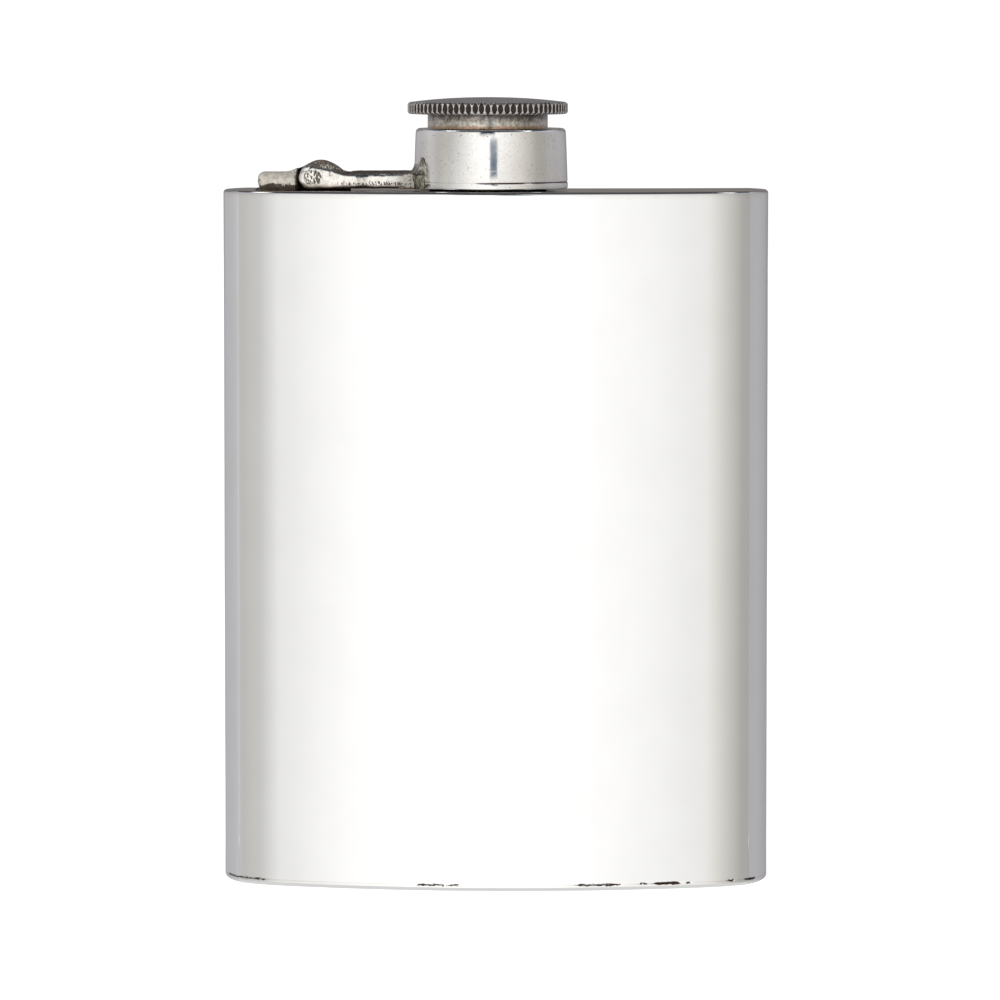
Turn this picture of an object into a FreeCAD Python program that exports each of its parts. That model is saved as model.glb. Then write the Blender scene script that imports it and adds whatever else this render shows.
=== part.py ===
import FreeCAD, Part
import math
import os

# A kidney-shaped hip flask with a captive screw cap, in millimetres.
# X runs along the width, -Y is the bulging front, +Y the hollowed back and Z is up.
# The origin is at the centre of the flask's box, on the face that it stands on.
# The cap is modelled unscrewed: it stands THREAD_TRAVEL above its closed position.

# ---------------------------------------------------------------- body
BODY_WIDTH = 90.0
FRONT_Y = -14.85            # the front's foremost line
FRONT_R = 108.5             # the front's middle arc
SHOULDER_X = 35.0           # where the front begins to roll into its arrises
SHOULDER_R = 20.0
CENTRE_DEPTH = 26.0         # from front to back, halfway along the width
BACK_HOLLOW = 4.0           # depth of the back's arc
END_BULGE = 3.0             # rise of an end's arc over its two arrises
BODY_HEIGHT = 114.2         # upper face of the top plate
SHEET = 1.2                 # thickness of walls and top plate
ARRIS_ROUND = 1.2
TOP_EDGE_ROUND = 0.55
BASE_THICKNESS = 0.9
BASE_EDGE_ROUND = 0.7
SOLDER_LINE = 0.2           # solder between the base plate and the walls
SOLDER_INSET = 0.05         # the solder line lies this far inside the walls' faces
BEAD = 0.8                  # leg of the solder beads inside the body
BEAD_EDGE = 0.05            # thickness left at a bead's free edge
CORNER_BEAD_R = 1.4

# ---------------------------------------------------------------- neck and thread
AXIS_Y = -1.85              # middle of the body's thickness at its centre
NECK_X = -1.05
NECK_BORE_R = 6.25
NECK_ROOT_R = 7.6
NECK_SPIGOT_R = 7.2
NECK_SPIGOT_LENGTH = 2.0    # from the flange down, through the top plate
NECK_FLANGE_R = 9.4
NECK_FLANGE_HEIGHT = 0.8
NECK_HEIGHT = 7.9           # above the top plate
NECK_RIM_ROUND = 0.3
NECK_SOLDER_LEG = 0.3
THREAD_LEAD = 3.0
THREAD_STARTS = 2
THREAD_DEPTH = 0.55
THREAD_GAP = 0.25           # radial gap between one thread's crest and the other's root
RIDGE_ROOT_WIDTH = 0.8
RIDGE_CREST_WIDTH = 0.4
RIDGE_SINK = 0.15           # how far a ridge is rooted in its wall
NECK_RIDGE_HEIGHT = 2.0     # rise of a ridge's middle line along the neck
CAP_RIDGE_HEIGHT = 1.1
RIDGE_END_GAP = 0.5         # from the rim to the nearest end of a ridge's middle line
THREAD_TRAVEL = 2.1         # rise of the cap from closed to free of the neck

# ---------------------------------------------------------------- collar
COLLAR_X = -0.55
COLLAR_LIFT = 0.3           # gap between the top plate and the collar's ring
COLLAR_HEIGHT = 9.9
COLLAR_TOP_R = 12.34
COLLAR_BOTTOM_R = 12.66
COLLAR_BORE_R = 11.5
COLLAR_EDGE_ROUND = 0.7
LIP_THICKNESS = 0.9
LIP_BORE_R = 10.45
RING_HEIGHT = 1.1
RING_BORE_R = 10.6
RING_EDGE_ROUND = 0.3

# ---------------------------------------------------------------- cap
CAP_GAP = 0.1               # between the raised cap's skirt and the neck's rim
SHANK_R = 9.85
HEAD_R = 13.15
HEAD_SIDE = 1.95
HEAD_CROWN = 0.8
HEAD_EDGE = 0.35            # chamfer of the head's rim
HEAD_REST = 2.3             # gap between the collar and the raised head
KNURL_COUNT = 78
KNURL_CUTTER_R = 0.42
KNURL_DEPTH = 0.28
SPIGOT_R = 4.0              # joins the shank to the head
SPIGOT_HEIGHT = 0.9
LINER_THICKNESS = 0.8
LINER_R = 8.3
LINER_SQUEEZE_GAP = 0.02
GROOVE_R = 9.5
GROOVE_HEIGHT = 0.9
GROOVE_EDGE = 0.3           # skirt below the groove
RETAINER_R = 10.85
RETAINER_CLEARANCE = 0.05
RETAINER_GAP_ANGLE = 12.0

# ---------------------------------------------------------------- hinge and arm
PIVOT_X = -30.0
PIVOT_HEIGHT = 2.15         # above the top plate
EAR_R = 2.05
EAR_TOP = 1.8               # the ears' top, above the pivot
FORK_WIDTH = 5.4
TONGUE_WIDTH = 2.2
TONGUE_CLEARANCE = 0.15
SLOT_END = 7.4              # from the pivot to the end of the fork's slot
FORK_TAPER = 2.0            # length over which the fork narrows to the bar
PIN_R = 0.8
PIN_CLEARANCE = 0.05
PIN_HEAD_R = 1.2
PIN_HEAD_HEIGHT = 0.2
ARM_WIDTH = 4.6
ARM_HEIGHT = 2.8
EAR_SLOPE_END = 5.3         # where the sloping top of the fork meets the arm
SADDLE_WIDTH = 10.8
SADDLE_START = 5.0          # length of the flare before the collar
FLARE_SHARE = 0.3           # part of the flare's widening that it has at its middle
FLARE_MIDDLE = 3.6          # from the flare's start to that middle
LUG_LENGTH = 6.3
LUG_END_GAP = 2.5           # from the pivot to the lug's near end
LUG_HEIGHT = 3.07
LUG_ROUND = 1.2
LUG_END_ROUND = 1.6
HUMP_CENTRE = 1.05          # the hump's crest, from the pivot
HUMP_HEIGHT = 1.95          # above the lug
HUMP_REACH = 5.4            # from crest to foot
HUMP_POINTS = 8             # spans of the hump's curve
HINGE_SOLDER_LEG = 0.5
ARM_SOLDER_LEG = 0.9
ARM_SOLDER_ANGLE = 48.0

# ---------------------------------------------------------------- worked out
ARRIS_X = BODY_WIDTH / 2 - END_BULGE
CORNERS_BEYOND = (SHOULDER_X + ARRIS_X) / 2
BACK_ARRIS_Y = FRONT_Y + CENTRE_DEPTH + BACK_HOLLOW
WALL_LOW = BASE_THICKNESS + SOLDER_LINE
WALL_HIGH = BODY_HEIGHT - SHEET
THREAD_PITCH = THREAD_LEAD / THREAD_STARTS
NECK_CREST_R = NECK_ROOT_R + THREAD_DEPTH
CAP_ROOT_R = NECK_CREST_R + THREAD_GAP
CAP_CREST_R = CAP_ROOT_R - THREAD_DEPTH
NECK_TOP = BODY_HEIGHT + NECK_HEIGHT
COLLAR_LOW = BODY_HEIGHT + COLLAR_LIFT
COLLAR_SEAM = COLLAR_LOW + RING_HEIGHT
COLLAR_TOP = COLLAR_LOW + COLLAR_HEIGHT
HEAD_LOW = COLLAR_TOP + HEAD_REST
SKIRT_LOW = NECK_TOP + CAP_GAP
LINER_LOW = NECK_TOP + THREAD_TRAVEL + LINER_SQUEEZE_GAP
LINER_HIGH = LINER_LOW + LINER_THICKNESS
GROOVE_LOW = SKIRT_LOW + GROOVE_EDGE
PIVOT_Z = BODY_HEIGHT + PIVOT_HEIGHT
ARM_LOW = BODY_HEIGHT + COLLAR_LIFT
ARM_HIGH = ARM_LOW + ARM_HEIGHT
UP = FreeCAD.Vector(0, 0, 1)
PLENTY = 100.0              # longer than anything that it cuts
RUN_PAST = 1.0              # how far a cutter or a blank runs past the face that it meets
TOUCH = 0.01                # two places nearer than this are the same place


def vec(x, y, z=0.0):
    return FreeCAD.Vector(x, y, z)


def arc_radius(half_chord, rise):
    return (half_chord ** 2 + rise ** 2) / (2 * rise)


def polygon(points):
    return Part.Face(Part.makePolygon(points + [points[0]]))


def cylinder(radius, low, high, x, y):
    return Part.makeCylinder(radius, high - low, vec(x, y, low), UP)


def turned(profile, x, angle=360.0):
    """Revolve (radius, height) points about the vertical line at x."""
    face = polygon([vec(x + radius, AXIS_Y, height) for radius, height in profile])
    return face.revolve(vec(x, AXIS_Y, 0), UP, angle)


def ring_edges(solid, radius, height):
    """The circular edges of a turned solid that have this radius and lie at this height."""
    found = []
    for edge in solid.Edges:
        if isinstance(edge.Curve, Part.Circle):
            same_radius = abs(edge.Curve.Radius - radius) < TOUCH
            if same_radius and abs(edge.Curve.Center.z - height) < TOUCH:
                found.append(edge)
    return found


# ---------------------------------------------------------------- the body's plan outline
def heading(angle):
    """The direction that a wall faces when it is turned by this angle from the front."""
    return vec(math.sin(angle), -math.cos(angle))


FRONT_CENTRE = vec(0, FRONT_Y + FRONT_R)
SHOULDER_ANGLE = math.asin(SHOULDER_X / FRONT_R)
SHOULDER_CENTRE = FRONT_CENTRE + heading(SHOULDER_ANGLE) * (FRONT_R - SHOULDER_R)
ARRIS_ANGLE = math.asin((ARRIS_X - SHOULDER_CENTRE.x) / SHOULDER_R)
FRONT_ARRIS_Y = SHOULDER_CENTRE.y - SHOULDER_R * math.cos(ARRIS_ANGLE)
END_DEPTH = BACK_ARRIS_Y - FRONT_ARRIS_Y
END_R = arc_radius(END_DEPTH / 2, END_BULGE)
END_CENTRE = vec(BODY_WIDTH / 2 - END_R, FRONT_ARRIS_Y + END_DEPTH / 2)
BACK_R = arc_radius(ARRIS_X, BACK_HOLLOW)
BACK_CENTRE = vec(0, BACK_ARRIS_Y - BACK_HOLLOW + BACK_R)


def crossing(centre_a, radius_a, centre_b, radius_b, near):
    """The point where two circles cross that is nearest to a given point."""
    between = centre_b - centre_a
    distance = between.Length
    along = (distance ** 2 + radius_a ** 2 - radius_b ** 2) / (2 * distance)
    aside = math.sqrt(radius_a ** 2 - along ** 2)
    unit = between / distance
    foot = centre_a + unit * along
    side = vec(-unit.y, unit.x) * aside
    return min([foot + side, foot - side], key=near.distanceToPoint)


def right_corners(inset):
    """Front and back corners of the right end, with every face moved inwards by inset."""
    front = crossing(SHOULDER_CENTRE, SHOULDER_R - inset, END_CENTRE, END_R - inset,
                     vec(ARRIS_X, FRONT_ARRIS_Y))
    back = crossing(BACK_CENTRE, BACK_R + inset, END_CENTRE, END_R - inset,
                    vec(ARRIS_X, BACK_ARRIS_Y))
    return front, back


def mirrored(point):
    return vec(-point.x, point.y, point.z)


def plan_face(inset):
    """The kidney outline: a bulging front with rolled shoulders, two ends, a hollowed back."""
    front, back = right_corners(inset)
    front_middle = FRONT_CENTRE + heading(0) * (FRONT_R - inset)
    shoulder = FRONT_CENTRE + heading(SHOULDER_ANGLE) * (FRONT_R - inset)
    half_roll = (front + shoulder) / 2 - SHOULDER_CENTRE
    roll_middle = SHOULDER_CENTRE + half_roll.normalize() * (SHOULDER_R - inset)
    back_middle = BACK_CENTRE + heading(0) * (BACK_R + inset)
    end_middle = END_CENTRE + vec(END_R - inset, 0)
    edges = [
        Part.Arc(mirrored(front), mirrored(roll_middle), mirrored(shoulder)).toShape(),
        Part.Arc(mirrored(shoulder), front_middle, shoulder).toShape(),
        Part.Arc(shoulder, roll_middle, front).toShape(),
        Part.Arc(front, end_middle, back).toShape(),
        Part.Arc(back, back_middle, mirrored(back)).toShape(),
        Part.Arc(mirrored(back), mirrored(end_middle), mirrored(front)).toShape(),
    ]
    return Part.Face(Part.Wire(edges))


def plan_solid(inset, low, high, corner_round=0.0):
    face = plan_face(inset)
    face.translate(vec(0, 0, low))
    solid = face.extrude(vec(0, 0, high - low))
    if corner_round > 0:
        corners = [edge for edge in solid.Edges
                   if isinstance(edge.Curve, Part.Line) and abs(edge.Vertexes[0].X) > CORNERS_BEYOND]
        solid = solid.makeFillet(corner_round, corners)
    return solid


def level_edges(solid, height):
    return [edge for edge in solid.Edges
            if abs(edge.BoundBox.ZMin - height) < TOUCH and abs(edge.BoundBox.ZMax - height) < TOUCH]


# ---------------------------------------------------------------- body pieces
def body_walls():
    outside = plan_solid(0, WALL_LOW, WALL_HIGH, ARRIS_ROUND)
    return outside.cut(plan_solid(SHEET, WALL_LOW, WALL_HIGH))


def front_side():
    """Everything in front of the mitres through the two front arrises."""
    outer = right_corners(0)[0]
    inner = right_corners(SHEET)[0]
    beyond = outer + (outer - inner) * 4
    far = vec(PLENTY, -PLENTY)
    points = [inner, beyond, far, mirrored(far), mirrored(beyond), mirrored(inner)]
    return polygon(points).extrude(vec(0, 0, BODY_HEIGHT))


def front_panel():
    return body_walls().common(front_side())


def back_panel():
    return body_walls().cut(front_side())


def top_plate():
    plate = plan_solid(0, WALL_HIGH, BODY_HEIGHT, ARRIS_ROUND)
    plate = plate.makeFillet(TOP_EDGE_ROUND, level_edges(plate, BODY_HEIGHT))
    return plate.cut(cylinder(NECK_SPIGOT_R, 0, BODY_HEIGHT + SHEET, NECK_X, AXIS_Y))


def base_plate():
    plate = plan_solid(0, 0, BASE_THICKNESS, ARRIS_ROUND)
    return plate.makeFillet(BASE_EDGE_ROUND, level_edges(plate, 0))


def inner_bead(foot, free):
    """Solder in the corner between walls and plate, sloping from its foot to its free edge."""
    low, high = sorted((foot, free))
    wide = plan_face(SHEET + BEAD).OuterWire
    wide.translate(vec(0, 0, foot))
    narrow = plan_face(SHEET + BEAD_EDGE).OuterWire
    narrow.translate(vec(0, 0, free))
    hollow = Part.makeLoft([wide, narrow], True, True)
    return plan_solid(SHEET, low, high).cut(hollow)


def base_solder():
    outline = plan_solid(SOLDER_INSET, BASE_THICKNESS, WALL_LOW, ARRIS_ROUND)
    line_of_solder = outline.cut(plan_solid(SHEET + BEAD, BASE_THICKNESS, WALL_LOW))
    return line_of_solder.fuse(inner_bead(WALL_LOW, WALL_LOW + BEAD)).removeSplitter()


def top_solder():
    return inner_bead(WALL_HIGH, WALL_HIGH - BEAD)


def side_solder():
    low = WALL_LOW + BEAD
    high = WALL_HIGH - BEAD
    corner = right_corners(SHEET)[0]
    beads = []
    for point in (corner, mirrored(corner)):
        rod = cylinder(CORNER_BEAD_R, low, high, point.x, point.y)
        beads.append(rod.common(plan_solid(SHEET, low, high)))
    return Part.makeCompound(beads)


# ---------------------------------------------------------------- neck and thread
def thread_ridges(root_radius, crest_radius, low, height, phase):
    """One helical ridge for each start. Ridges with a phase of half a pitch mesh with phase 0."""
    outward = math.copysign(1.0, crest_radius - root_radius)
    sunk = root_radius - outward * RIDGE_SINK
    half_root = RIDGE_ROOT_WIDTH / 2
    half_crest = RIDGE_CREST_WIDTH / 2
    ridges = []
    for start in range(THREAD_STARTS):
        helix = Part.makeHelix(THREAD_LEAD, height, crest_radius)
        section = Part.makePolygon([
            vec(sunk, 0, -half_root), vec(crest_radius, 0, -half_crest),
            vec(crest_radius, 0, half_crest), vec(sunk, 0, half_root), vec(sunk, 0, -half_root)])
        ridge = Part.Wire(helix).makePipeShell([section], True, True)
        climbed = low - phase - start * THREAD_PITCH
        ridge.rotate(vec(0, 0), UP, climbed / THREAD_LEAD * 360.0)
        ridge.translate(vec(NECK_X, AXIS_Y, low))
        ridges.append(ridge)
    return ridges


def neck():
    bottom = BODY_HEIGHT - NECK_SPIGOT_LENGTH
    flange_top = BODY_HEIGHT + NECK_FLANGE_HEIGHT
    tube = turned([
        (NECK_BORE_R, bottom), (NECK_SPIGOT_R, bottom), (NECK_SPIGOT_R, BODY_HEIGHT),
        (NECK_FLANGE_R, BODY_HEIGHT), (NECK_FLANGE_R, flange_top), (NECK_ROOT_R, flange_top),
        (NECK_ROOT_R, NECK_TOP), (NECK_BORE_R, NECK_TOP)], NECK_X)
    rim = ring_edges(tube, NECK_ROOT_R, NECK_TOP) + ring_edges(tube, NECK_BORE_R, NECK_TOP)
    tube = tube.makeFillet(NECK_RIM_ROUND, rim)
    low = NECK_TOP - RIDGE_END_GAP - NECK_RIDGE_HEIGHT
    return tube.fuse(thread_ridges(NECK_ROOT_R, NECK_CREST_R, low, NECK_RIDGE_HEIGHT, 0))


def neck_solder():
    outer = NECK_FLANGE_R + NECK_SOLDER_LEG
    return turned([
        (NECK_FLANGE_R, BODY_HEIGHT), (outer, BODY_HEIGHT),
        (NECK_FLANGE_R, BODY_HEIGHT + NECK_SOLDER_LEG)], NECK_X)


# ---------------------------------------------------------------- collar
def collar():
    body = turned([
        (COLLAR_BORE_R, COLLAR_SEAM), (COLLAR_BOTTOM_R, COLLAR_SEAM), (COLLAR_TOP_R, COLLAR_TOP),
        (LIP_BORE_R, COLLAR_TOP), (LIP_BORE_R, COLLAR_TOP - LIP_THICKNESS),
        (COLLAR_BORE_R, COLLAR_TOP - LIP_THICKNESS)], COLLAR_X)
    return body.makeFillet(COLLAR_EDGE_ROUND, ring_edges(body, COLLAR_TOP_R, COLLAR_TOP))


def collar_ring():
    ring = turned([
        (RING_BORE_R, COLLAR_LOW), (COLLAR_BOTTOM_R, COLLAR_LOW),
        (COLLAR_BOTTOM_R, COLLAR_SEAM), (RING_BORE_R, COLLAR_SEAM)], COLLAR_X)
    return ring.makeFillet(RING_EDGE_ROUND, ring_edges(ring, COLLAR_BOTTOM_R, COLLAR_LOW))


def collar_envelope():
    """The space that collar and ring fill, as one solid plug."""
    return turned([
        (0, COLLAR_LOW - COLLAR_LIFT), (COLLAR_BOTTOM_R, COLLAR_LOW - COLLAR_LIFT),
        (COLLAR_BOTTOM_R, COLLAR_SEAM), (COLLAR_TOP_R, COLLAR_TOP), (0, COLLAR_TOP)], COLLAR_X)


# ---------------------------------------------------------------- cap
def cap_shell():
    groove_high = GROOVE_LOW + GROOVE_HEIGHT
    shell = turned([
        (CAP_ROOT_R, SKIRT_LOW), (SHANK_R, SKIRT_LOW), (SHANK_R, GROOVE_LOW),
        (GROOVE_R, GROOVE_LOW), (GROOVE_R, groove_high), (SHANK_R, groove_high),
        (SHANK_R, HEAD_LOW), (SPIGOT_R, HEAD_LOW), (SPIGOT_R, HEAD_LOW + SPIGOT_HEIGHT),
        (0, HEAD_LOW + SPIGOT_HEIGHT), (0, LINER_HIGH), (CAP_ROOT_R, LINER_HIGH)], NECK_X)
    low = SKIRT_LOW + RIDGE_END_GAP
    phase = THREAD_PITCH / 2
    return shell.fuse(thread_ridges(CAP_ROOT_R, CAP_CREST_R, low, CAP_RIDGE_HEIGHT, phase))


def knurl_cutters():
    """Upright rods round the head that leave shallow scallops in its rim."""
    distance = HEAD_R + KNURL_CUTTER_R - KNURL_DEPTH
    low = HEAD_LOW - RUN_PAST
    rods = []
    for tooth in range(KNURL_COUNT):
        angle = math.radians(360.0 * tooth / KNURL_COUNT)
        x = NECK_X + distance * math.cos(angle)
        y = AXIS_Y + distance * math.sin(angle)
        rods.append(cylinder(KNURL_CUTTER_R, low, low + HEAD_SIDE + 2 * RUN_PAST, x, y))
    return rods


def cap_head():
    crown_r = HEAD_R - HEAD_EDGE
    side_top = HEAD_LOW + HEAD_SIDE
    dome_r = arc_radius(crown_r, HEAD_CROWN)
    head = turned([
        (0, HEAD_LOW), (crown_r, HEAD_LOW), (HEAD_R, HEAD_LOW + HEAD_EDGE),
        (HEAD_R, side_top - HEAD_EDGE), (crown_r, side_top), (0, side_top)], NECK_X)
    dome = Part.makeSphere(dome_r, vec(NECK_X, AXIS_Y, side_top + HEAD_CROWN - dome_r))
    dome = dome.common(cylinder(crown_r, side_top, side_top + 2 * HEAD_CROWN, NECK_X, AXIS_Y))
    head = head.fuse(dome).removeSplitter()
    head = head.cut(cylinder(SPIGOT_R, 0, HEAD_LOW + SPIGOT_HEIGHT, NECK_X, AXIS_Y))
    return head.cut(Part.makeCompound(knurl_cutters()))


def cap_liner():
    return cylinder(LINER_R, LINER_LOW, LINER_HIGH, NECK_X, AXIS_Y)


def retaining_ring():
    inner = GROOVE_R + RETAINER_CLEARANCE
    low = GROOVE_LOW + RETAINER_CLEARANCE
    high = GROOVE_LOW + GROOVE_HEIGHT - RETAINER_CLEARANCE
    ring = turned([(inner, low), (RETAINER_R, low), (RETAINER_R, high), (inner, high)],
                  NECK_X, 360.0 - RETAINER_GAP_ANGLE)
    ring.rotate(vec(NECK_X, AXIS_Y), UP, RETAINER_GAP_ANGLE / 2)
    return ring


# ---------------------------------------------------------------- hinge and arm
def extruded_across(edges, width):
    """Extrude a closed outline in the XZ plane by width, centred on the arm's middle plane."""
    face = Part.Face(Part.Wire(edges))
    face.translate(vec(0, AXIS_Y - width / 2, 0))
    return face.extrude(vec(0, width, 0))


def beside_pivot(along, above):
    return vec(PIVOT_X + along, 0, PIVOT_Z + above)


def line(start, end):
    return Part.LineSegment(start, end).toShape()


def pivot_bore(radius):
    return Part.makeCylinder(radius, PLENTY, vec(PIVOT_X, -PLENTY / 2, PIVOT_Z), vec(0, 1, 0))


def hump_curve():
    """The tongue's top: a raised cosine over the pivot, from the lug's top and back to it."""
    base = LUG_HEIGHT - PIVOT_HEIGHT
    points = []
    for step in range(HUMP_POINTS + 1):
        swing = math.pi * (2.0 * step / HUMP_POINTS - 1.0)
        along = HUMP_CENTRE + HUMP_REACH * swing / math.pi
        points.append(beside_pivot(along, base + HUMP_HEIGHT * (1 + math.cos(swing)) / 2))
    curve = Part.BSplineCurve()
    curve.interpolate(points)
    return curve.toShape(), points[0], points[-1]


def tongue():
    hump, left, right = hump_curve()
    left_foot = vec(left.x, 0, BODY_HEIGHT)
    right_foot = vec(right.x, 0, BODY_HEIGHT)
    edges = [line(left_foot, left), hump, line(right, right_foot), line(right_foot, left_foot)]
    return extruded_across(edges, TONGUE_WIDTH)


def rounded_block(length, width, height, corner_round):
    """A block on the top plate whose far left corners are rounded; its right end is the lug's."""
    right = PIVOT_X - LUG_END_GAP
    block = Part.makeBox(length, width, height, vec(right - length, AXIS_Y - width / 2, BODY_HEIGHT))
    left_corners = [edge for edge in block.Edges
                    if edge.BoundBox.ZLength > height / 2 and edge.BoundBox.XMax < right - length / 2]
    return block.makeFillet(corner_round, left_corners)


def top_edges(block, height):
    """The top edges of such a block, but for the straight one at its right end."""
    right = PIVOT_X - LUG_END_GAP
    return [edge for edge in level_edges(block, BODY_HEIGHT + height)
            if edge.BoundBox.XMin < right - TOUCH]


def lug():
    block = rounded_block(LUG_LENGTH, FORK_WIDTH, LUG_HEIGHT, LUG_END_ROUND)
    return block.makeFillet(LUG_ROUND, top_edges(block, LUG_HEIGHT))


def hinge_base():
    return lug().fuse(tongue()).cut(pivot_bore(PIN_R + PIN_CLEARANCE))


def hinge_solder():
    """A fillet round the lug's foot, open on the side of the arm."""
    leg = HINGE_SOLDER_LEG
    block = rounded_block(LUG_LENGTH + leg, FORK_WIDTH + 2 * leg, leg, LUG_END_ROUND + leg)
    block = block.makeChamfer(leg - BEAD_EDGE, top_edges(block, leg))
    return block.cut(lug())


def arm_side_outline():
    """The arm seen from the front: an ear round the pivot, a sloping neck, a straight bar."""
    bar_low = ARM_LOW - PIVOT_Z
    bar_high = ARM_HIGH - PIVOT_Z
    right = COLLAR_X - PIVOT_X
    lean = math.asin(EAR_TOP / EAR_R)
    crest = beside_pivot(EAR_R * math.cos(lean), EAR_TOP)
    far_left = beside_pivot(-EAR_R, 0)
    bottom = beside_pivot(0, -EAR_R)
    slope_end = beside_pivot(EAR_SLOPE_END, bar_high)
    top_right = beside_pivot(right, bar_high)
    low_right = beside_pivot(right, bar_low)
    low_left = beside_pivot(EAR_R, bar_low)
    return [
        Part.Arc(bottom, far_left, crest).toShape(), line(crest, slope_end),
        line(slope_end, top_right), line(top_right, low_right), line(low_right, low_left),
        line(low_left, bottom)]


def arm_plan():
    """The arm seen from above: parallel at the fork, slimmer along the bar, flared at the collar."""
    fork = FORK_WIDTH / 2
    bar = ARM_WIDTH / 2
    saddle = SADDLE_WIDTH / 2
    fork_end = PIVOT_X + SLOT_END
    bar_start = fork_end + FORK_TAPER
    flare = COLLAR_X - COLLAR_BOTTOM_R - SADDLE_START
    wide = flare + SADDLE_START + RUN_PAST
    left = PIVOT_X - 2 * EAR_R
    middle = vec(flare + FLARE_MIDDLE, bar + (saddle - bar) * FLARE_SHARE)

    def front(point):
        return vec(point.x, -point.y)

    corners = [vec(left, fork), vec(fork_end, fork), vec(bar_start, bar), vec(flare, bar)]
    edges = []
    for start, end in zip(corners, corners[1:]):
        edges.append(line(start, end))
        edges.append(line(front(start), front(end)))
    last = vec(wide, saddle)
    edges.append(Part.Arc(corners[-1], middle, last).toShape())
    edges.append(Part.Arc(front(corners[-1]), front(middle), front(last)).toShape())
    edges.append(line(last, front(last)))
    edges.append(line(corners[0], front(corners[0])))
    face = Part.Face(Part.Wire(Part.__sortEdges__(edges)))
    face.translate(vec(0, AXIS_Y, BODY_HEIGHT))
    return face.extrude(vec(0, 0, PLENTY))


def captive_arm():
    arm = extruded_across(arm_side_outline(), SADDLE_WIDTH + RUN_PAST).common(arm_plan())
    slot_width = TONGUE_WIDTH + 2 * TONGUE_CLEARANCE
    slot = Part.makeBox(SLOT_END + 2 * EAR_R, slot_width, 4 * EAR_R,
                        vec(PIVOT_X - 2 * EAR_R, AXIS_Y - slot_width / 2, PIVOT_Z - 2 * EAR_R))
    return arm.cut(slot).cut(pivot_bore(PIN_R)).cut(collar_envelope())


def hinge_pin():
    length = FORK_WIDTH + 2 * PIN_HEAD_HEIGHT
    start = AXIS_Y - length / 2
    across = vec(0, 1, 0)
    shaft = Part.makeCylinder(PIN_R, length, vec(PIVOT_X, start, PIVOT_Z), across)
    heads = []
    for face_y in (start, start + length - PIN_HEAD_HEIGHT):
        head = Part.makeCylinder(PIN_HEAD_R, PIN_HEAD_HEIGHT, vec(PIVOT_X, face_y, PIVOT_Z), across)
        heads.append(head)
    return shaft.fuse(heads).removeSplitter()


def arm_solder():
    """A fillet of solder on the saddle, along the collar's side."""
    reach = COLLAR_BOTTOM_R + ARM_SOLDER_LEG
    inner = COLLAR_TOP_R - ARM_SOLDER_LEG
    bead = turned([
        (inner, ARM_HIGH), (reach, ARM_HIGH), (COLLAR_BOTTOM_R, ARM_HIGH + ARM_SOLDER_LEG),
        (inner, ARM_HIGH + ARM_SOLDER_LEG)], COLLAR_X, ARM_SOLDER_ANGLE)
    bead.rotate(vec(COLLAR_X, AXIS_Y), UP, 180.0 - ARM_SOLDER_ANGLE / 2)
    return bead.cut(collar_envelope())


# ---------------------------------------------------------------- output
PIECES = {
    "front_panel": front_panel,
    "back_panel": back_panel,
    "top_plate": top_plate,
    "base_plate": base_plate,
    "base_solder": base_solder,
    "side_solder": side_solder,
    "top_solder": top_solder,
    "neck": neck,
    "neck_solder": neck_solder,
    "hinge_base": hinge_base,
    "hinge_solder": hinge_solder,
    "captive_arm": captive_arm,
    "hinge_pin": hinge_pin,
    "collar": collar,
    "collar_ring": collar_ring,
    "arm_solder": arm_solder,
    "retaining_ring": retaining_ring,
    "cap_head": cap_head,
    "cap_shell": cap_shell,
    "cap_liner": cap_liner,
}

os.makedirs("parts", exist_ok=True)
for name, build in PIECES.items():
    shape = build()
    shape.exportStep(os.path.join("parts", name + ".step"))
    print(name, "solids", len(shape.Solids), "valid", shape.isValid(), "volume", round(shape.Volume, 2))
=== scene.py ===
import math
import random

import bmesh
import bpy
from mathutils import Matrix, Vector, noise


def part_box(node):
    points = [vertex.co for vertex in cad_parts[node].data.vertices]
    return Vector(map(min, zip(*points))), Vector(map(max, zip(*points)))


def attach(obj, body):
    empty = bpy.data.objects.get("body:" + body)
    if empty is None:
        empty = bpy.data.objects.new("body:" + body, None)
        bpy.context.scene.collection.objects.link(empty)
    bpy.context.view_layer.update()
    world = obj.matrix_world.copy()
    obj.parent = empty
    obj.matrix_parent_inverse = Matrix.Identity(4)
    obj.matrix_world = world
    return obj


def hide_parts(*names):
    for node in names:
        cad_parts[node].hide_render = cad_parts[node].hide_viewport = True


# A polished pewter hip flask with a captive screw cap, on a pale floor in soft light.
# Lengths are written in millimetres and turned into metres by MM where they enter a mesh.
# X runs along the width, -Y is the bulging front and Z is up.

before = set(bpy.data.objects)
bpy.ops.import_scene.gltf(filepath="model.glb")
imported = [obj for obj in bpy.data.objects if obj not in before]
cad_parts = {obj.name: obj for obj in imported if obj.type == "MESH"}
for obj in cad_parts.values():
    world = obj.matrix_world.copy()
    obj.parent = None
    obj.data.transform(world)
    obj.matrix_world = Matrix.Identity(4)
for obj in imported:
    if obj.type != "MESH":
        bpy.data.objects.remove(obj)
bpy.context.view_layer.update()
MM = 0.001
SAME_POINT = 1e-4           # points closer than this, in millimetres, are one
QUARTER_TURN = math.pi / 2


def span(node):
    """A CAD node's lowest and highest corners, in millimetres."""
    low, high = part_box(node)
    return low / MM, high / MM


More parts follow.
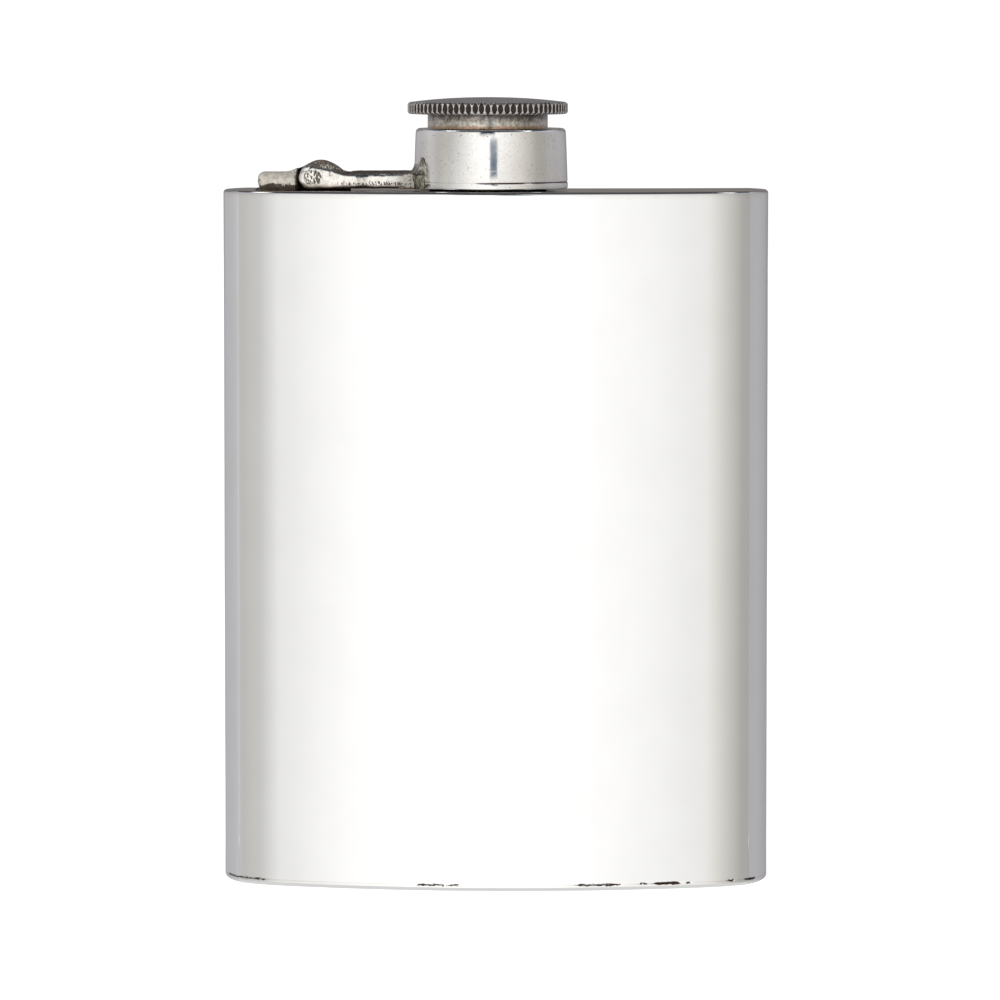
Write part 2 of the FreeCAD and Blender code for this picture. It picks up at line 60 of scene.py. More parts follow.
# ---------------------------------------------------------------- sizes
# What the CAD's boxes don't tell: the arcs of the outline, edges, bores and offsets.
FRONT_Y = -14.85
FRONT_R = 108.5
SHOULDER_X = 35.0
SHOULDER_R = 20.0
CENTRE_DEPTH = 26.0
BACK_HOLLOW = 4.0
END_BULGE = 3.0
ARRIS_ROUND = 1.2
SHEET = 1.2
TOP_EDGE_ROUND = 0.55
BASE_EDGE_ROUND = 0.7
HALF_WIDTH = span("base_plate")[1].x
BASE_TOP = span("base_plate")[1].z
WALL_LOW = span("front_panel")[0].z
WALL_HIGH = span("front_panel")[1].z
PLATE_TOP = span("top_plate")[1].z
NECK_X = -1.05
AXIS_Y = -1.85
NECK_HOLE_R = 7.2
COLLAR_X = -0.55
COLLAR_TOP_R = 12.34
COLLAR_BOTTOM_R = 12.66
COLLAR_BORE_R = 11.5
COLLAR_EDGE_ROUND = 0.7
LIP_THICKNESS = 0.9
LIP_BORE_R = 10.45
RING_BORE_R = 10.6
RING_EDGE_ROUND = 0.25
HEAD_R = 13.15
HEAD_EDGE = 0.35
HEAD_CROWN = 0.8
KNURLS = 78
KNURL_DEPTH = 0.28
SIDES_PER_KNURL = 16
SPIGOT_R = 4.0
SPIGOT_HEIGHT = 0.9


# ---------------------------------------------------------------- mesh helpers
def finished(name, bm, body, replaced, material, sharp=38.0):
    """Turns a bmesh in millimetres into a piece that rides on a body.

    Points that an inset has drawn together are merged, so no face is left without an area.
    """
    bmesh.ops.remove_doubles(bm, verts=bm.verts, dist=SAME_POINT)
    bmesh.ops.scale(bm, vec=(MM, MM, MM), verts=bm.verts)
    bmesh.ops.recalc_face_normals(bm, faces=bm.faces)
    mesh = bpy.data.meshes.new(name)
    bm.to_mesh(mesh)
    bm.free()
    piece = bpy.data.objects.new(name, mesh)
    bpy.context.scene.collection.objects.link(piece)
    return dressed(piece, body, replaced, material, sharp)


def dressed(piece, body, replaced, material, sharp):
    """Gives a piece its shading, its material and its place in the frame."""
    mesh = piece.data
    mesh.shade_smooth()
    mesh.set_sharp_from_angle(angle=math.radians(sharp))
    mesh.materials.clear()
    mesh.materials.append(material)
    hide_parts(*replaced)
    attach(piece, body)
    return piece


def ease(value, low, high):
    """0 below low, 1 above high and a smooth rise between them."""
    t = max(0.0, min(1.0, (value - low) / (high - low)))
    return t * t * (3 - 2 * t)


def loft(bm, rings, joined=False):
    """Quads between rings of equally many points; joined closes the last ring onto the first."""
    made = [[bm.verts.new(point) for point in ring] for ring in rings]
    pairs = list(zip(made, made[1:]))
    if joined:
        pairs.append((made[-1], made[0]))
    for lower, upper in pairs:
        for i in range(len(lower)):
            j = (i + 1) % len(lower)
            bm.faces.new((lower[i], lower[j], upper[j], upper[i]))
    return made


def capped(bm, ring):
    """Closes a ring with a fan about its middle."""
    middle = bm.verts.new(sum((v.co for v in ring), Vector()) / len(ring))
    for i in range(len(ring)):
        bm.faces.new((ring[i], ring[(i + 1) % len(ring)], middle))


def arc_points(centre, radius, start, stop, count):
    """Points and outward directions along an arc; angles are turned from -Y towards +X."""
    made = []
    for i in range(count):
        angle = start + (stop - start) * i / count
        way = Vector((math.sin(angle), -math.cos(angle), 0))
        made.append((centre + way * radius, way))
    return made


def angle_of(way):
    return math.atan2(way.x, -way.y)


def crossing(centre_a, radius_a, centre_b, radius_b, near):
    """The point where two circles cross that is nearest to a given point."""
    between = centre_b - centre_a
    along = (between.length ** 2 + radius_a ** 2 - radius_b ** 2) / (2 * between.length)
    aside = math.sqrt(radius_a ** 2 - along ** 2)
    unit = between.normalized()
    side = Vector((-unit.y, unit.x, 0)) * aside
    foot = centre_a + unit * along
    return min((foot + side, foot - side), key=lambda point: (point - near).length)


# ---------------------------------------------------------------- the body's plan
def plan_outline():
    """The kidney outline, from the middle of the left front arris round by the front."""
    arris_x = HALF_WIDTH - END_BULGE
    back_y = FRONT_Y + CENTRE_DEPTH + BACK_HOLLOW
    front_centre = Vector((0, FRONT_Y + FRONT_R, 0))
    roll = math.asin(SHOULDER_X / FRONT_R)
    roll_centre = front_centre + Vector((math.sin(roll), -math.cos(roll), 0)) * (FRONT_R - SHOULDER_R)
    roll_end = math.asin((arris_x - roll_centre.x) / SHOULDER_R)
    arris_y = roll_centre.y - SHOULDER_R * math.cos(roll_end)
    half_end = (back_y - arris_y) / 2
    end_r = (half_end ** 2 + END_BULGE ** 2) / (2 * END_BULGE)
    end_centre = Vector((HALF_WIDTH - end_r, arris_y + half_end, 0))
    back_r = (arris_x ** 2 + BACK_HOLLOW ** 2) / (2 * BACK_HOLLOW)
    back_centre = Vector((0, back_y - BACK_HOLLOW + back_r, 0))
    front_round = crossing(roll_centre, SHOULDER_R - ARRIS_ROUND, end_centre, end_r - ARRIS_ROUND,
                           Vector((arris_x, arris_y, 0)))
    back_round = crossing(back_centre, back_r + ARRIS_ROUND, end_centre, end_r - ARRIS_ROUND,
                          Vector((arris_x, back_y, 0)))
    roll_stop = angle_of(front_round - roll_centre)
    end_start = angle_of(front_round - end_centre)
    end_stop = angle_of(back_round - end_centre)
    back_start = angle_of(back_centre - back_round) % (2 * math.pi)
    mid_arris = (roll_stop + end_start) / 2
    right = [
        (front_centre, FRONT_R, 0, roll, 44),
        (roll_centre, SHOULDER_R, roll, roll_stop, 26),
        (front_round, ARRIS_ROUND, roll_stop, mid_arris, 5),
    ]
    behind = [
        (front_round, ARRIS_ROUND, mid_arris, end_start, 5),
        (end_centre, end_r, end_start, end_stop, 26),
        (back_round, ARRIS_ROUND, end_stop, back_start, 10),
    ]
    front_half = [p for arc in right for p in arc_points(*arc)]
    side_half = [p for arc in behind for p in arc_points(*arc)]
    hollow = []
    steps = 44
    for i in range(steps):
        turn = angle_of(back_round - back_centre) * (1 - i / steps)
        way = Vector((math.sin(turn), -math.cos(turn), 0))
        hollow.append((back_centre + way * back_r, -way))
    half = front_half + side_half + hollow
    last = (Vector((0, back_centre.y - back_r, 0)), Vector((0, 1, 0)))
    mirror = [(Vector((-p.x, p.y, 0)), Vector((-n.x, n.y, 0))) for p, n in half[1:]]
    whole = half + [last] + mirror[::-1]
    seam = len(front_half)
    front = whole[-seam:] + whole[:seam + 1]
    back = whole[seam:len(whole) - seam + 1]
    return whole, front, back


WHOLE, FRONT, BACK = plan_outline()


def inset(line, depth):
    return [point - way * depth for point, way in line]


def at(points, height):
    return [Vector((p.x, p.y, height)) for p in points]


def swell(point, size, depth):
    """How far a face lies inside its true surface, a little more here and there."""
    return depth * (0.5 + 0.5 * noise.noise(point / size))


WALL_SWELL = 0.05
WALL_SWELL_SIZE = 17.0
JOINT_DEPTH = 0.09
JOINT_WHOLE = 9.0           # height above which the joint along the arris is full
JOINT_OPEN = 5.0            # height below which it is open


def wall(name, line, replaced, rows=48):
    """A sheet bent round part of the outline, between the base plate and the top plate.

    The joint along the arris shows as a fine open line near the foot of the flask.
    """
    bm = bmesh.new()
    grime_and_shade = bm.verts.layers.float.new("grime_and_shade")
    rings = []
    opened = []
    last = len(line) - 1
    for row in range(rows + 1):
        height = WALL_LOW + (WALL_HIGH - WALL_LOW) * (row / rows) ** 1.3
        fade = min(1.0, row / 4, (rows - row) / 4)
        split = 1 - ease(height, JOINT_OPEN, JOINT_WHOLE)
        outer = []
        for i, (point, way) in enumerate(line):
            place = Vector((point.x, point.y, height))
            at_joint = split * (i in (0, last))
            sunk = swell(place, WALL_SWELL_SIZE, WALL_SWELL) * fade + JOINT_DEPTH * at_joint
            outer.append(place - way * sunk)
            opened.append(at_joint)
        opened += [0.0] * len(line)
        rings.append(outer + at(inset(line, SHEET), height)[::-1])
    made = loft(bm, rings)
    for vertex, dirt_and_shade in zip((v for ring in made for v in ring), opened):
        vertex[grime_and_shade] = dirt_and_shade
    count = len(line)
    for ring in (made[0], made[-1]):
        for i in range(count - 1):
            bm.faces.new((ring[i], ring[i + 1], ring[-2 - i], ring[-1 - i]))
    return finished(name, bm, "body", replaced, PEWTER)


def towards(points, centre, share, height):
    return at([centre + (p - centre) * share for p in points], height)


def plate_marks_and_shade(place):
    """Handling marks over an even painted darkening that stands in for the dark the top plate reflects, and
    darker still under and round the arm.
    """
    near_arm = bell(place.y - AXIS_Y, -2.0, 6.5)
    near_arm *= (1 - ease(place.x, -12.0, -4.0)) * ease(place.x, -41.0, -36.0)
    # An even painted darkening under the handling marks, standing in for the dark the plate reflects.
    handled_and_painted_dark = 0.25 + 0.3 * fuzz(place, 9.0)
    return ease(place.z, WALL_HIGH + 0.3, PLATE_TOP) * max(handled_and_painted_dark, 0.85 * near_arm)


EDGE_STEPS = 8              # rows of faces round a plate's edge


def top_plate():
    bm = bmesh.new()
    low = WALL_HIGH
    rise = PLATE_TOP - TOP_EDGE_ROUND
    outline = inset(WHOLE, 0)
    rings = [at(outline, low), at(outline, (low + rise) / 2), at(outline, rise)]
    for i in range(1, EDGE_STEPS + 1):
        angle = QUARTER_TURN * i / EDGE_STEPS
        rings.append(at(inset(WHOLE, TOP_EDGE_ROUND * (1 - math.cos(angle))),
                        rise + TOP_EDGE_ROUND * math.sin(angle)))
    edge = inset(WHOLE, TOP_EDGE_ROUND)
    axis = Vector((NECK_X, AXIS_Y, 0))
    hole = [axis + (p - axis).normalized() * NECK_HOLE_R for p in edge]
    spans = 14
    for i in range(1, spans + 1):
        rings.append(at([p.lerp(h, i / spans) for p, h in zip(edge, hole)], PLATE_TOP))
    rings.append(at(hole, low))
    grime_and_shade = bm.verts.layers.float.new("grime_and_shade")
    for ring in loft(bm, rings, joined=True):
        for vertex in ring:
            vertex[grime_and_shade] = plate_marks_and_shade(vertex.co)
    return finished("top_plate.polished", bm, "body", ["top_plate"], PLATE_PEWTER)


def base_plate():
    bm = bmesh.new()
    bottom = inset(WHOLE, BASE_EDGE_ROUND)
    middle = Vector((0, AXIS_Y, 0))
    rings = [towards(bottom, middle, share, 0) for share in (0.1, 0.4, 0.7, 0.9)]
    for i in range(EDGE_STEPS + 1):
        angle = QUARTER_TURN * i / EDGE_STEPS
        rings.append(at(inset(WHOLE, BASE_EDGE_ROUND * (1 - math.sin(angle))),
                        BASE_EDGE_ROUND * (1 - math.cos(angle))))
    outline = inset(WHOLE, 0)
    rings.append(at(outline, BASE_TOP))
    rings += [towards(outline, middle, share, BASE_TOP) for share in (0.95, 0.6, 0.1)]
    made = loft(bm, rings)
    capped(bm, made[0])
    capped(bm, made[-1])
    return finished("base_plate.polished", bm, "body", ["base_plate"], PEWTER)


# Where the solder of the base seam has pulled back into the joint, along the front: (start, stop, depth)
SEAM_PITS = [(-44.9, -37.0, 0.16), (-12.8, -4.6, 0.14), (13.4, 21.4, 0.25), (24.1, 25.6, 0.2),
             (26.2, 31.2, 0.5), (31.8, 32.4, 0.3), (38.6, 39.5, 0.3), (41.2, 43.2, 0.35)]


def pit_depth(x, y):
    """How far the base seam's solder lies back from the walls' face at this place."""
    depth = 0.0
    if y < 0:
        for start, stop, deep in SEAM_PITS:
            inside = min(x - start, stop - x)
            ragged = 0.35 * noise.noise(Vector((x * 1.7, 3.0, 0)))
            if inside + ragged > 0:
                depth = max(depth, deep * min(1.0, 0.4 + (inside + ragged)))
    return depth


SEAM_SUNK = 0.015


def base_solder():
    bm = bmesh.new()
    outer = [point - way * (SEAM_SUNK + pit_depth(point.x, point.y)) for point, way in WHOLE]
    inner = inset(WHOLE, SHEET)
    rings = [at(outer, BASE_TOP), at(outer, (BASE_TOP + WALL_LOW) / 2), at(outer, WALL_LOW),
             at(inner, WALL_LOW), at(inner, BASE_TOP)]
    loft(bm, rings, joined=True)
    return finished("base_solder.line", bm, "body", ["base_solder"], SEAM_SOLDER)


# ---------------------------------------------------------------- turned pieces
NEAR_AXIS = 0.5             # a profile that starts nearer than this to its axis is a solid one


def lathe(bm, profile, centre_x, count, form):
    """Turns (radius, height) points about the vertical line at centre_x.

    A profile that starts near the axis is closed there; another one is joined from its end to its start.

    form gives each point its radius, height and grime_and_shade.
    """
    grime_and_shade = bm.verts.layers.float.new("grime_and_shade")
    rings = []
    dirt = []
    for radius, height in profile:
        ring = []
        for i in range(count):
            angle = 2 * math.pi * i / count
            r, z, dirt_and_shade = form(radius, height, angle)
            ring.append(Vector((centre_x + r * math.sin(angle), AXIS_Y - r * math.cos(angle), z)))
            dirt.append(dirt_and_shade)
        rings.append(ring)
    closed = profile[0][0] > NEAR_AXIS
    made = loft(bm, rings, joined=closed)
    for vertex, dirt_and_shade in zip((v for ring in made for v in ring), dirt):
        vertex[grime_and_shade] = dirt_and_shade
    if not closed:
        capped(bm, made[0])
        capped(bm, made[-1])


def rounded(radius, height, size, start, stop, steps=6):
    """Points of a rounded edge about (radius, height), angles in degrees from outwards to up."""
    made = []
    for i in range(steps + 1):
        angle = math.radians(start + (stop - start) * i / steps)
        made.append((radius + size * math.cos(angle), height + size * math.sin(angle)))
    return made


def worn(depth, size, grooved=None):
    """A slightly uneven turned face, never outside its true one.

    grooved = (height, depth) sinks a seam that is open on the right and wiped full on the left.
    """
    def form(radius, height, angle):
        place = Vector((radius * math.sin(angle), radius * math.cos(angle), height))
        radius -= swell(place, size, depth)
        dirt_and_shade = 0.0
        if grooved and radius > COLLAR_BORE_R + 0.5:
            near = 1 - ease(abs(height - grooved[0]), 0.0, 0.16)
            opened = 0.12 + 0.88 * ease(math.sin(angle) + 0.3 * noise.noise(place / 2.0), -0.35, 0.25)
            radius -= grooved[1] * near * opened
            dirt_and_shade = near * opened
        return radius, height, dirt_and_shade
    return form


TURNED_WEAR = 0.04
TURNED_WEAR_SIZE = 3.2
SEAM_DEPTH = 0.12
TURNED_SIDES = 256


def collar():
    low, high = span("collar")
    seam, top = low.z, high.z
    taper = (COLLAR_BOTTOM_R - COLLAR_TOP_R) / (top - span("collar_ring")[0].z)

    def side(height):
        return COLLAR_TOP_R + taper * (top - height)

    edge = COLLAR_EDGE_ROUND
    profile = [(side(seam), seam + up) for up in (0.0, 0.06, 0.13)]
    profile += [(side(seam + up), seam + up) for up in (0.2, 1.5, 3.0, 4.5, 6.0, 7.2)]
    profile += rounded(COLLAR_TOP_R - edge, top - edge, edge, 0, 90, 8)
    profile += [(COLLAR_TOP_R - 1.2, top), (LIP_BORE_R + 0.15, top), (LIP_BORE_R, top - 0.15)]
    profile += [(LIP_BORE_R, top - LIP_THICKNESS), (COLLAR_BORE_R, top - LIP_THICKNESS),
                (COLLAR_BORE_R, seam)]
    bm = bmesh.new()
    lathe(bm, profile, COLLAR_X, TURNED_SIDES, worn(TURNED_WEAR, TURNED_WEAR_SIZE, (seam, SEAM_DEPTH)))
    return finished("collar.polished", bm, "arm", ["collar"], COLLAR_PEWTER,
                    TURNED_SHARP)


def collar_ring():
    low, high = span("collar_ring")
    edge = RING_EDGE_ROUND
    radius = COLLAR_BOTTOM_R
    profile = rounded(radius - edge, low.z + edge, edge, -90, 0, 6)
    profile += [(radius, high.z - down) for down in (0.2, 0.13, 0.06, 0.0)]
    profile += [(RING_BORE_R, high.z), (RING_BORE_R, low.z)]
    bm = bmesh.new()
    lathe(bm, profile, COLLAR_X, TURNED_SIDES, worn(TURNED_WEAR, TURNED_WEAR_SIZE, (high.z, SEAM_DEPTH)))
    return finished("collar_ring.polished", bm, "arm", ["collar_ring"],
                    COLLAR_PEWTER, TURNED_SHARP)


def knurled(low, high):
    """The form of the cap's rim: oval hollows with pointed ends, cut by hand and none quite alike."""
    dice = random.Random(7)
    middle = (low + high) / 2
    cuts = [(dice.uniform(-0.05, 0.05), dice.uniform(0.80, 0.92), dice.uniform(0.95, 1.04),
             dice.uniform(-0.06, 0.06)) for _ in range(KNURLS)]

    def form(radius, height, angle):
        if radius < HEAD_R - HEAD_EDGE - 0.01:
            return radius, height, 0.0
        turn = angle / (2 * math.pi) * KNURLS
        index = int(turn) % KNURLS
        shift, width, length, lean = cuts[index]
        up = (height - middle - lean) / ((high - low) / 2 * length)
        reach = max(0.0, 1 - up * up)
        across = (turn - int(turn) - 0.5 - shift) / (width / 2 * (0.25 + 0.75 * reach))
        hollow = max(0.0, 1 - across * across) ** 0.6 * reach ** 0.5
        ragged = 0.02 * noise.noise(Vector((turn * 1.3, height * 4, 0)))
        return radius - KNURL_DEPTH * hollow - abs(ragged), height, ease(hollow, 0.1, 0.4)
    return form


def cap_head():
    low, high = span("cap_head")
    top = high.z
    rim_low = low.z
    socket = rim_low + SPIGOT_HEIGHT
    rim_high = top - HEAD_CROWN
    brim = HEAD_R - HEAD_EDGE
    profile = [(0.2, socket), (SPIGOT_R, socket), (SPIGOT_R, rim_low), (SPIGOT_R + 3.0, rim_low),
               (brim - 0.4, rim_low), (brim, rim_low)]
    rows = 22
    for i in range(1, rows):
        height = rim_low + (rim_high - rim_low) * i / rows
        cut = HEAD_EDGE * max(0.0, 1 - min(height - rim_low, rim_high - height) / HEAD_EDGE) ** 1.5
        profile.append((HEAD_R - cut, height))
    profile.append((brim, rim_high))
    for share in (0.97, 0.93, 0.85, 0.7, 0.5, 0.3, 0.12, 0.02):
        profile.append((brim * share, rim_high + HEAD_CROWN * (1 - share ** 2.2)))
    bm = bmesh.new()
    lathe(bm, profile, NECK_X, KNURLS * SIDES_PER_KNURL, knurled(rim_low, rim_high))
    return finished("cap_head.knurled", bm, "cap", ["cap_head"], CAP_METAL, TURNED_SHARP)


# ---------------------------------------------------------------- cast pieces
def evaluated(piece):
    """Applies the piece's modifiers."""
    graph = bpy.context.evaluated_depsgraph_get()
    whole = bpy.data.meshes.new_from_object(piece.evaluated_get(graph))
    piece.modifiers.clear()
    piece.data = whole
    return whole


VOXEL = 0.1
CAST_SHARP = 70.0
TURNED_SHARP = 60.0


def cast(name, node, body, material, form, passes=20, bm=None, round_off=None):
    """A cast copy of a CAD node, or of bm in millimetres: worn edges, and a skin shaped by form.

    round_off moves each point of the fresh skin; form gives each worn point its rise and its grime_and_shade.
    """
    if bm is None:
        bm = bmesh.new()
        bm.from_mesh(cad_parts[node].data)
        bmesh.ops.remove_doubles(bm, verts=bm.verts, dist=1e-6)
        bmesh.ops.scale(bm, vec=(1 / MM, 1 / MM, 1 / MM), verts=bm.verts)
    mesh = bpy.data.meshes.new(name)
    bm.to_mesh(mesh)
    bm.free()
    piece = bpy.data.objects.new(name, mesh)
    bpy.context.scene.collection.objects.link(piece)
    skin = piece.modifiers.new("skin", "REMESH")
    skin.mode = "VOXEL"
    skin.voxel_size = VOXEL
    mesh = evaluated(piece)
    if round_off:
        for vertex in mesh.vertices:
            vertex.co = round_off(vertex.co)
    wear = piece.modifiers.new("wear", "SMOOTH")
    wear.factor = 0.5
    wear.iterations = passes
    mesh = evaluated(piece)
    grime_and_shade = mesh.attributes.new("grime_and_shade", "FLOAT", "POINT")
    made = [form(vertex.co, vertex.normal) for vertex in mesh.vertices]
    moved = [(vertex.co + vertex.normal * rise) * MM for vertex, (rise, _) in zip(mesh.vertices, made)]
    for vertex, place, (_, dirt_and_shade) in zip(mesh.vertices, moved, made):
        vertex.co = place
        grime_and_shade.data[vertex.index].value = dirt_and_shade
    return dressed(piece, body, [node], material, CAST_SHARP)


def fuzz(place, size, shift=0.0):
    """Smooth noise from 0 to 1."""
    return 0.5 + 0.5 * noise.noise(place / size + Vector((shift, 0.7 * shift, -shift)))


def uneven(place, size, height):
    return height * (0.7 * fuzz(place, size) + 0.3 * fuzz(place, size * 0.35, 4.0))


def bell(value, middle, reach):
    return math.exp(-((value - middle) / reach) ** 2)


PIVOT_X = -30.0
ARM_LOW = span("captive_arm")[0].z
EAR_TOP = span("captive_arm")[1].z
ARM_TOP = ARM_LOW + 3.0
PIVOT_Z = ARM_LOW + 2.05
EAR_R = 2.05
EAR_SLOPE = 5.3             # from the pivot to where the ear's sloping top meets the arm
FORK_HALF = 2.7
FORK_END = 7.4              # from the pivot
BAR_HALF = 2.3
BAR_START = 9.4
FLARE_START = COLLAR_X - COLLAR_BOTTOM_R - 5.0
FLARE_HALF = 5.4
LUG_NEAR = PIVOT_X - 2.5
LUG_HALF = 2.7
LUG_LOW = span("hinge_base")[0].z
LUG_RISE = 3.07
HUMP_X = PIVOT_X + 1.05
HUMP_RISE = 1.95
HUMP_REACH = 5.4
HUMP_LEAN = 0.55            # how far the hump's crest leans towards the arm
LUG_END = 1.5               # length of the lug's rounded end
TONGUE_HALF = 1.1
LUG_START = span("hinge_base")[0].x
LUG_TOP = LUG_LOW + LUG_RISE


def squircle(u, v, power):
    """The factor that draws the corners of a square section in; u and v reach 1 at its sides.

    The section's sides stay where they are, and a point well inside it is left alone.
    """
    reach = (abs(u) ** power + abs(v) ** power) ** (1 / power)
    return max(1.0, abs(u), abs(v)) / max(1.0, reach)


def arm_half_width(x):
    if x < PIVOT_X + FORK_END:
        return FORK_HALF
    if x < PIVOT_X + BAR_START:
        return FORK_HALF + (BAR_HALF - FORK_HALF) * (x - PIVOT_X - FORK_END) / (BAR_START - FORK_END)
    along = max(0.0, x - FLARE_START)
    share = 0.3 * (along / 3.6) ** 2 if along < 3.6 else 0.3 + 0.5 * (along - 3.6)
    return BAR_HALF + (FLARE_HALF - BAR_HALF) * min(1.0, share)


def round_arm(place):
    """The arm's square section drawn in to a rounded one, about the pivot at its end."""
    top = ARM_TOP + (EAR_TOP - ARM_TOP) * (1 - max(0.0, min(1.0, (place.x - PIVOT_X) / EAR_SLOPE)))
    middle = Vector((max(place.x, PIVOT_X), AXIS_Y, (top + ARM_LOW) / 2))
    half = (top - ARM_LOW) / 2
    off = place - middle
    up = math.hypot(off.x / EAR_R, off.z / half)
    ear = 1 - ease(place.x, PIVOT_X + 2.0, PIVOT_X + EAR_SLOPE + 1.0)
    power = (3.6 if off.z > 0 else 5.0) + 5.0 * ear
    return middle + off * squircle(off.y / arm_half_width(place.x), up, power)


def round_hinge(place):
    """The tongue's crest drawn in to a full round, and the lug's shoulders to a softer one."""
    off_y = place.y - AXIS_Y
    if place.x > LUG_NEAR + 0.05:
        bend = max(-1.0, min(1.0, (place.x - HUMP_X) / HUMP_REACH))
        crest = LUG_TOP + HUMP_RISE * (0.5 + 0.5 * math.cos(math.pi * bend)) - TONGUE_HALF
        if place.z <= crest:
            return place
        pull = squircle(off_y / TONGUE_HALF, (place.z - crest) / TONGUE_HALF, 2.2)
        lean = HUMP_LEAN * ease(crest + TONGUE_HALF, LUG_TOP, LUG_TOP + 1.0)
        return Vector((place.x + lean, AXIS_Y + off_y * pull, crest + (place.z - crest) * pull))
    pull = squircle(off_y / LUG_HALF, (place.z - LUG_LOW) / LUG_RISE, 3.2)
    place = Vector((place.x, AXIS_Y + off_y * pull, LUG_LOW + (place.z - LUG_LOW) * pull))
    heart = Vector((LUG_START + LUG_END, AXIS_Y, LUG_LOW + 0.58 * LUG_RISE))
    if place.x < heart.x:
        off = place - heart
        high = LUG_RISE * (0.42 if off.z > 0 else 0.58)
        drawn = squircle(off.x / LUG_END, math.hypot(off.y / LUG_HALF, off.z / high), 2.8)
        place = Vector((heart.x + off.x * drawn, place.y, heart.z + off.z * drawn))
    return place


def arm_form(place, normal):
    """Swollen ears with a hammered pin end; tarnish along the lower half and in the hollows, and painted
    shade on the upward faces and the fork's inner faces.
    """
    rise = 0.06 - uneven(place, 2.2, 0.12)
    off_pin = math.hypot(0.8 * (place.x - PIVOT_X - 0.5), place.z - PIVOT_Z)
    side = ease(abs(normal.y), 0.3, 0.8)
    rise += 0.15 * ease(normal.z, 0.5, 0.9) * ease(place.x, PIVOT_X + 5.0, PIVOT_X + 8.0)
    rise += side * 0.22 * bell(off_pin, 0.0, 1.9)
    rise -= 0.08 * ease(fuzz(place, 0.9, 6.0), 0.6, 0.75) * ease(place.z, ARM_TOP - 0.9, ARM_TOP - 0.4)
    wander = 0.5 * fuzz(place, 2.0, 3.0)
    band = bell(place.z, ARM_LOW + 0.75 + wander, 0.42) * ease(place.x, PIVOT_X + 2.0, PIVOT_X + 6.0)
    dirt_and_shade = 0.5 * band * (0.6 + 0.6 * fuzz(place, 1.3, 8.0))
    dirt_and_shade = max(dirt_and_shade, 0.52 * side * (1 - ease(off_pin, 0.9, 1.7)))
    dirt_and_shade = max(dirt_and_shade, 0.62 * (1 - ease(place.z, ARM_LOW + 0.1, ARM_LOW + 0.35)))
    # Painted shade: the upward faces are darkened, less on the ear, as the dark above would shade them.
    ear = 1 - ease(place.x, PIVOT_X + 2.5, PIVOT_X + 6.0)
    upward = normal.z + 0.3 * fuzz(place, 0.8, 5.0)
    dirt_and_shade = max(dirt_and_shade, (0.85 - 0.45 * ear) * ease(upward, 0.5 + 0.3 * ear, 0.8 + 0.2 * ear))
    dirt_and_shade = max(dirt_and_shade, 0.36 * ease(place.x, FLARE_START + 3.4, FLARE_START + 4.8))
    # Painted shade on the fork's inner faces, between the ears and the tongue.
    inner = 1 - ease(abs(place.y - AXIS_Y), TONGUE_HALF + 0.15, TONGUE_HALF + 0.35)
    return rise, max(dirt_and_shade, 0.8 * inner * (1 - ease(place.x, PIVOT_X + 6.5, PIVOT_X + 7.5)))


def hinge_form(place, normal):
    """The fixed half of the hinge: a brown, smooth-worn hump, a lug tarnished from below, and painted shadow
    in the gap between the lug and the ear.
    """
    rise = 0.05 - uneven(place, 2.0, 0.10)
    ragged = 0.9 * fuzz(place, 0.9, 2.0) + 0.5 * fuzz(place, 0.35, 7.0)
    low = 1 - ease(place.z - ragged, LUG_LOW + 0.1, LUG_LOW + 0.6)
    end = 1 - ease(place.x, LUG_START + 0.2, LUG_START + 0.9)
    # Painted shadow on the lug's end beside the ear.
    near = ease(place.x, LUG_NEAR - 0.9, LUG_NEAR)
    streaks = fuzz(Vector((place.x, place.y, place.z * 0.4)), 0.8, 5.0)
    hump = ease(place.x, LUG_NEAR, LUG_NEAR + 0.4) * (0.42 + 0.5 * streaks)
    # Painted shadow, near black, in the gap between the lug and the ear.
    pocket_shadow = ease(place.x, LUG_NEAR - 0.2, LUG_NEAR + 0.3) * (1 - ease(place.x, PIVOT_X - 1.6, PIVOT_X - 0.8))
    foot = 1 - ease(place.z, LUG_LOW + 0.5, LUG_LOW + 0.9)
    foot *= ease(place.x, LUG_NEAR, LUG_NEAR + 0.5)
    return rise, max(0.9 * low, 0.5 * end, 0.42 * near, hump, pocket_shadow, foot)


def pin_form(place, normal):
    return 0.02 - 0.05 * fuzz(place, 0.7), 0.45


def solder_form(place, normal):
    return -uneven(place, 1.1, 0.08), 0.2 + 0.42 * ease(fuzz(place, 0.9, 2.0), 0.35, 0.65)


RUN_REACH = math.radians(35)     # the solder run's end, to either side of the arm
RUN_BROAD = math.radians(25)     # where it starts to thin out
RUN_SUNK = 0.08                  # how far it starts inside the collar's side
RUN_BACK = 0.6                   # how far its hidden back lies inside that
CREEP_TURN = -30.5               # degrees, where it has crept up the collar
CREEP_REACH = 5.5


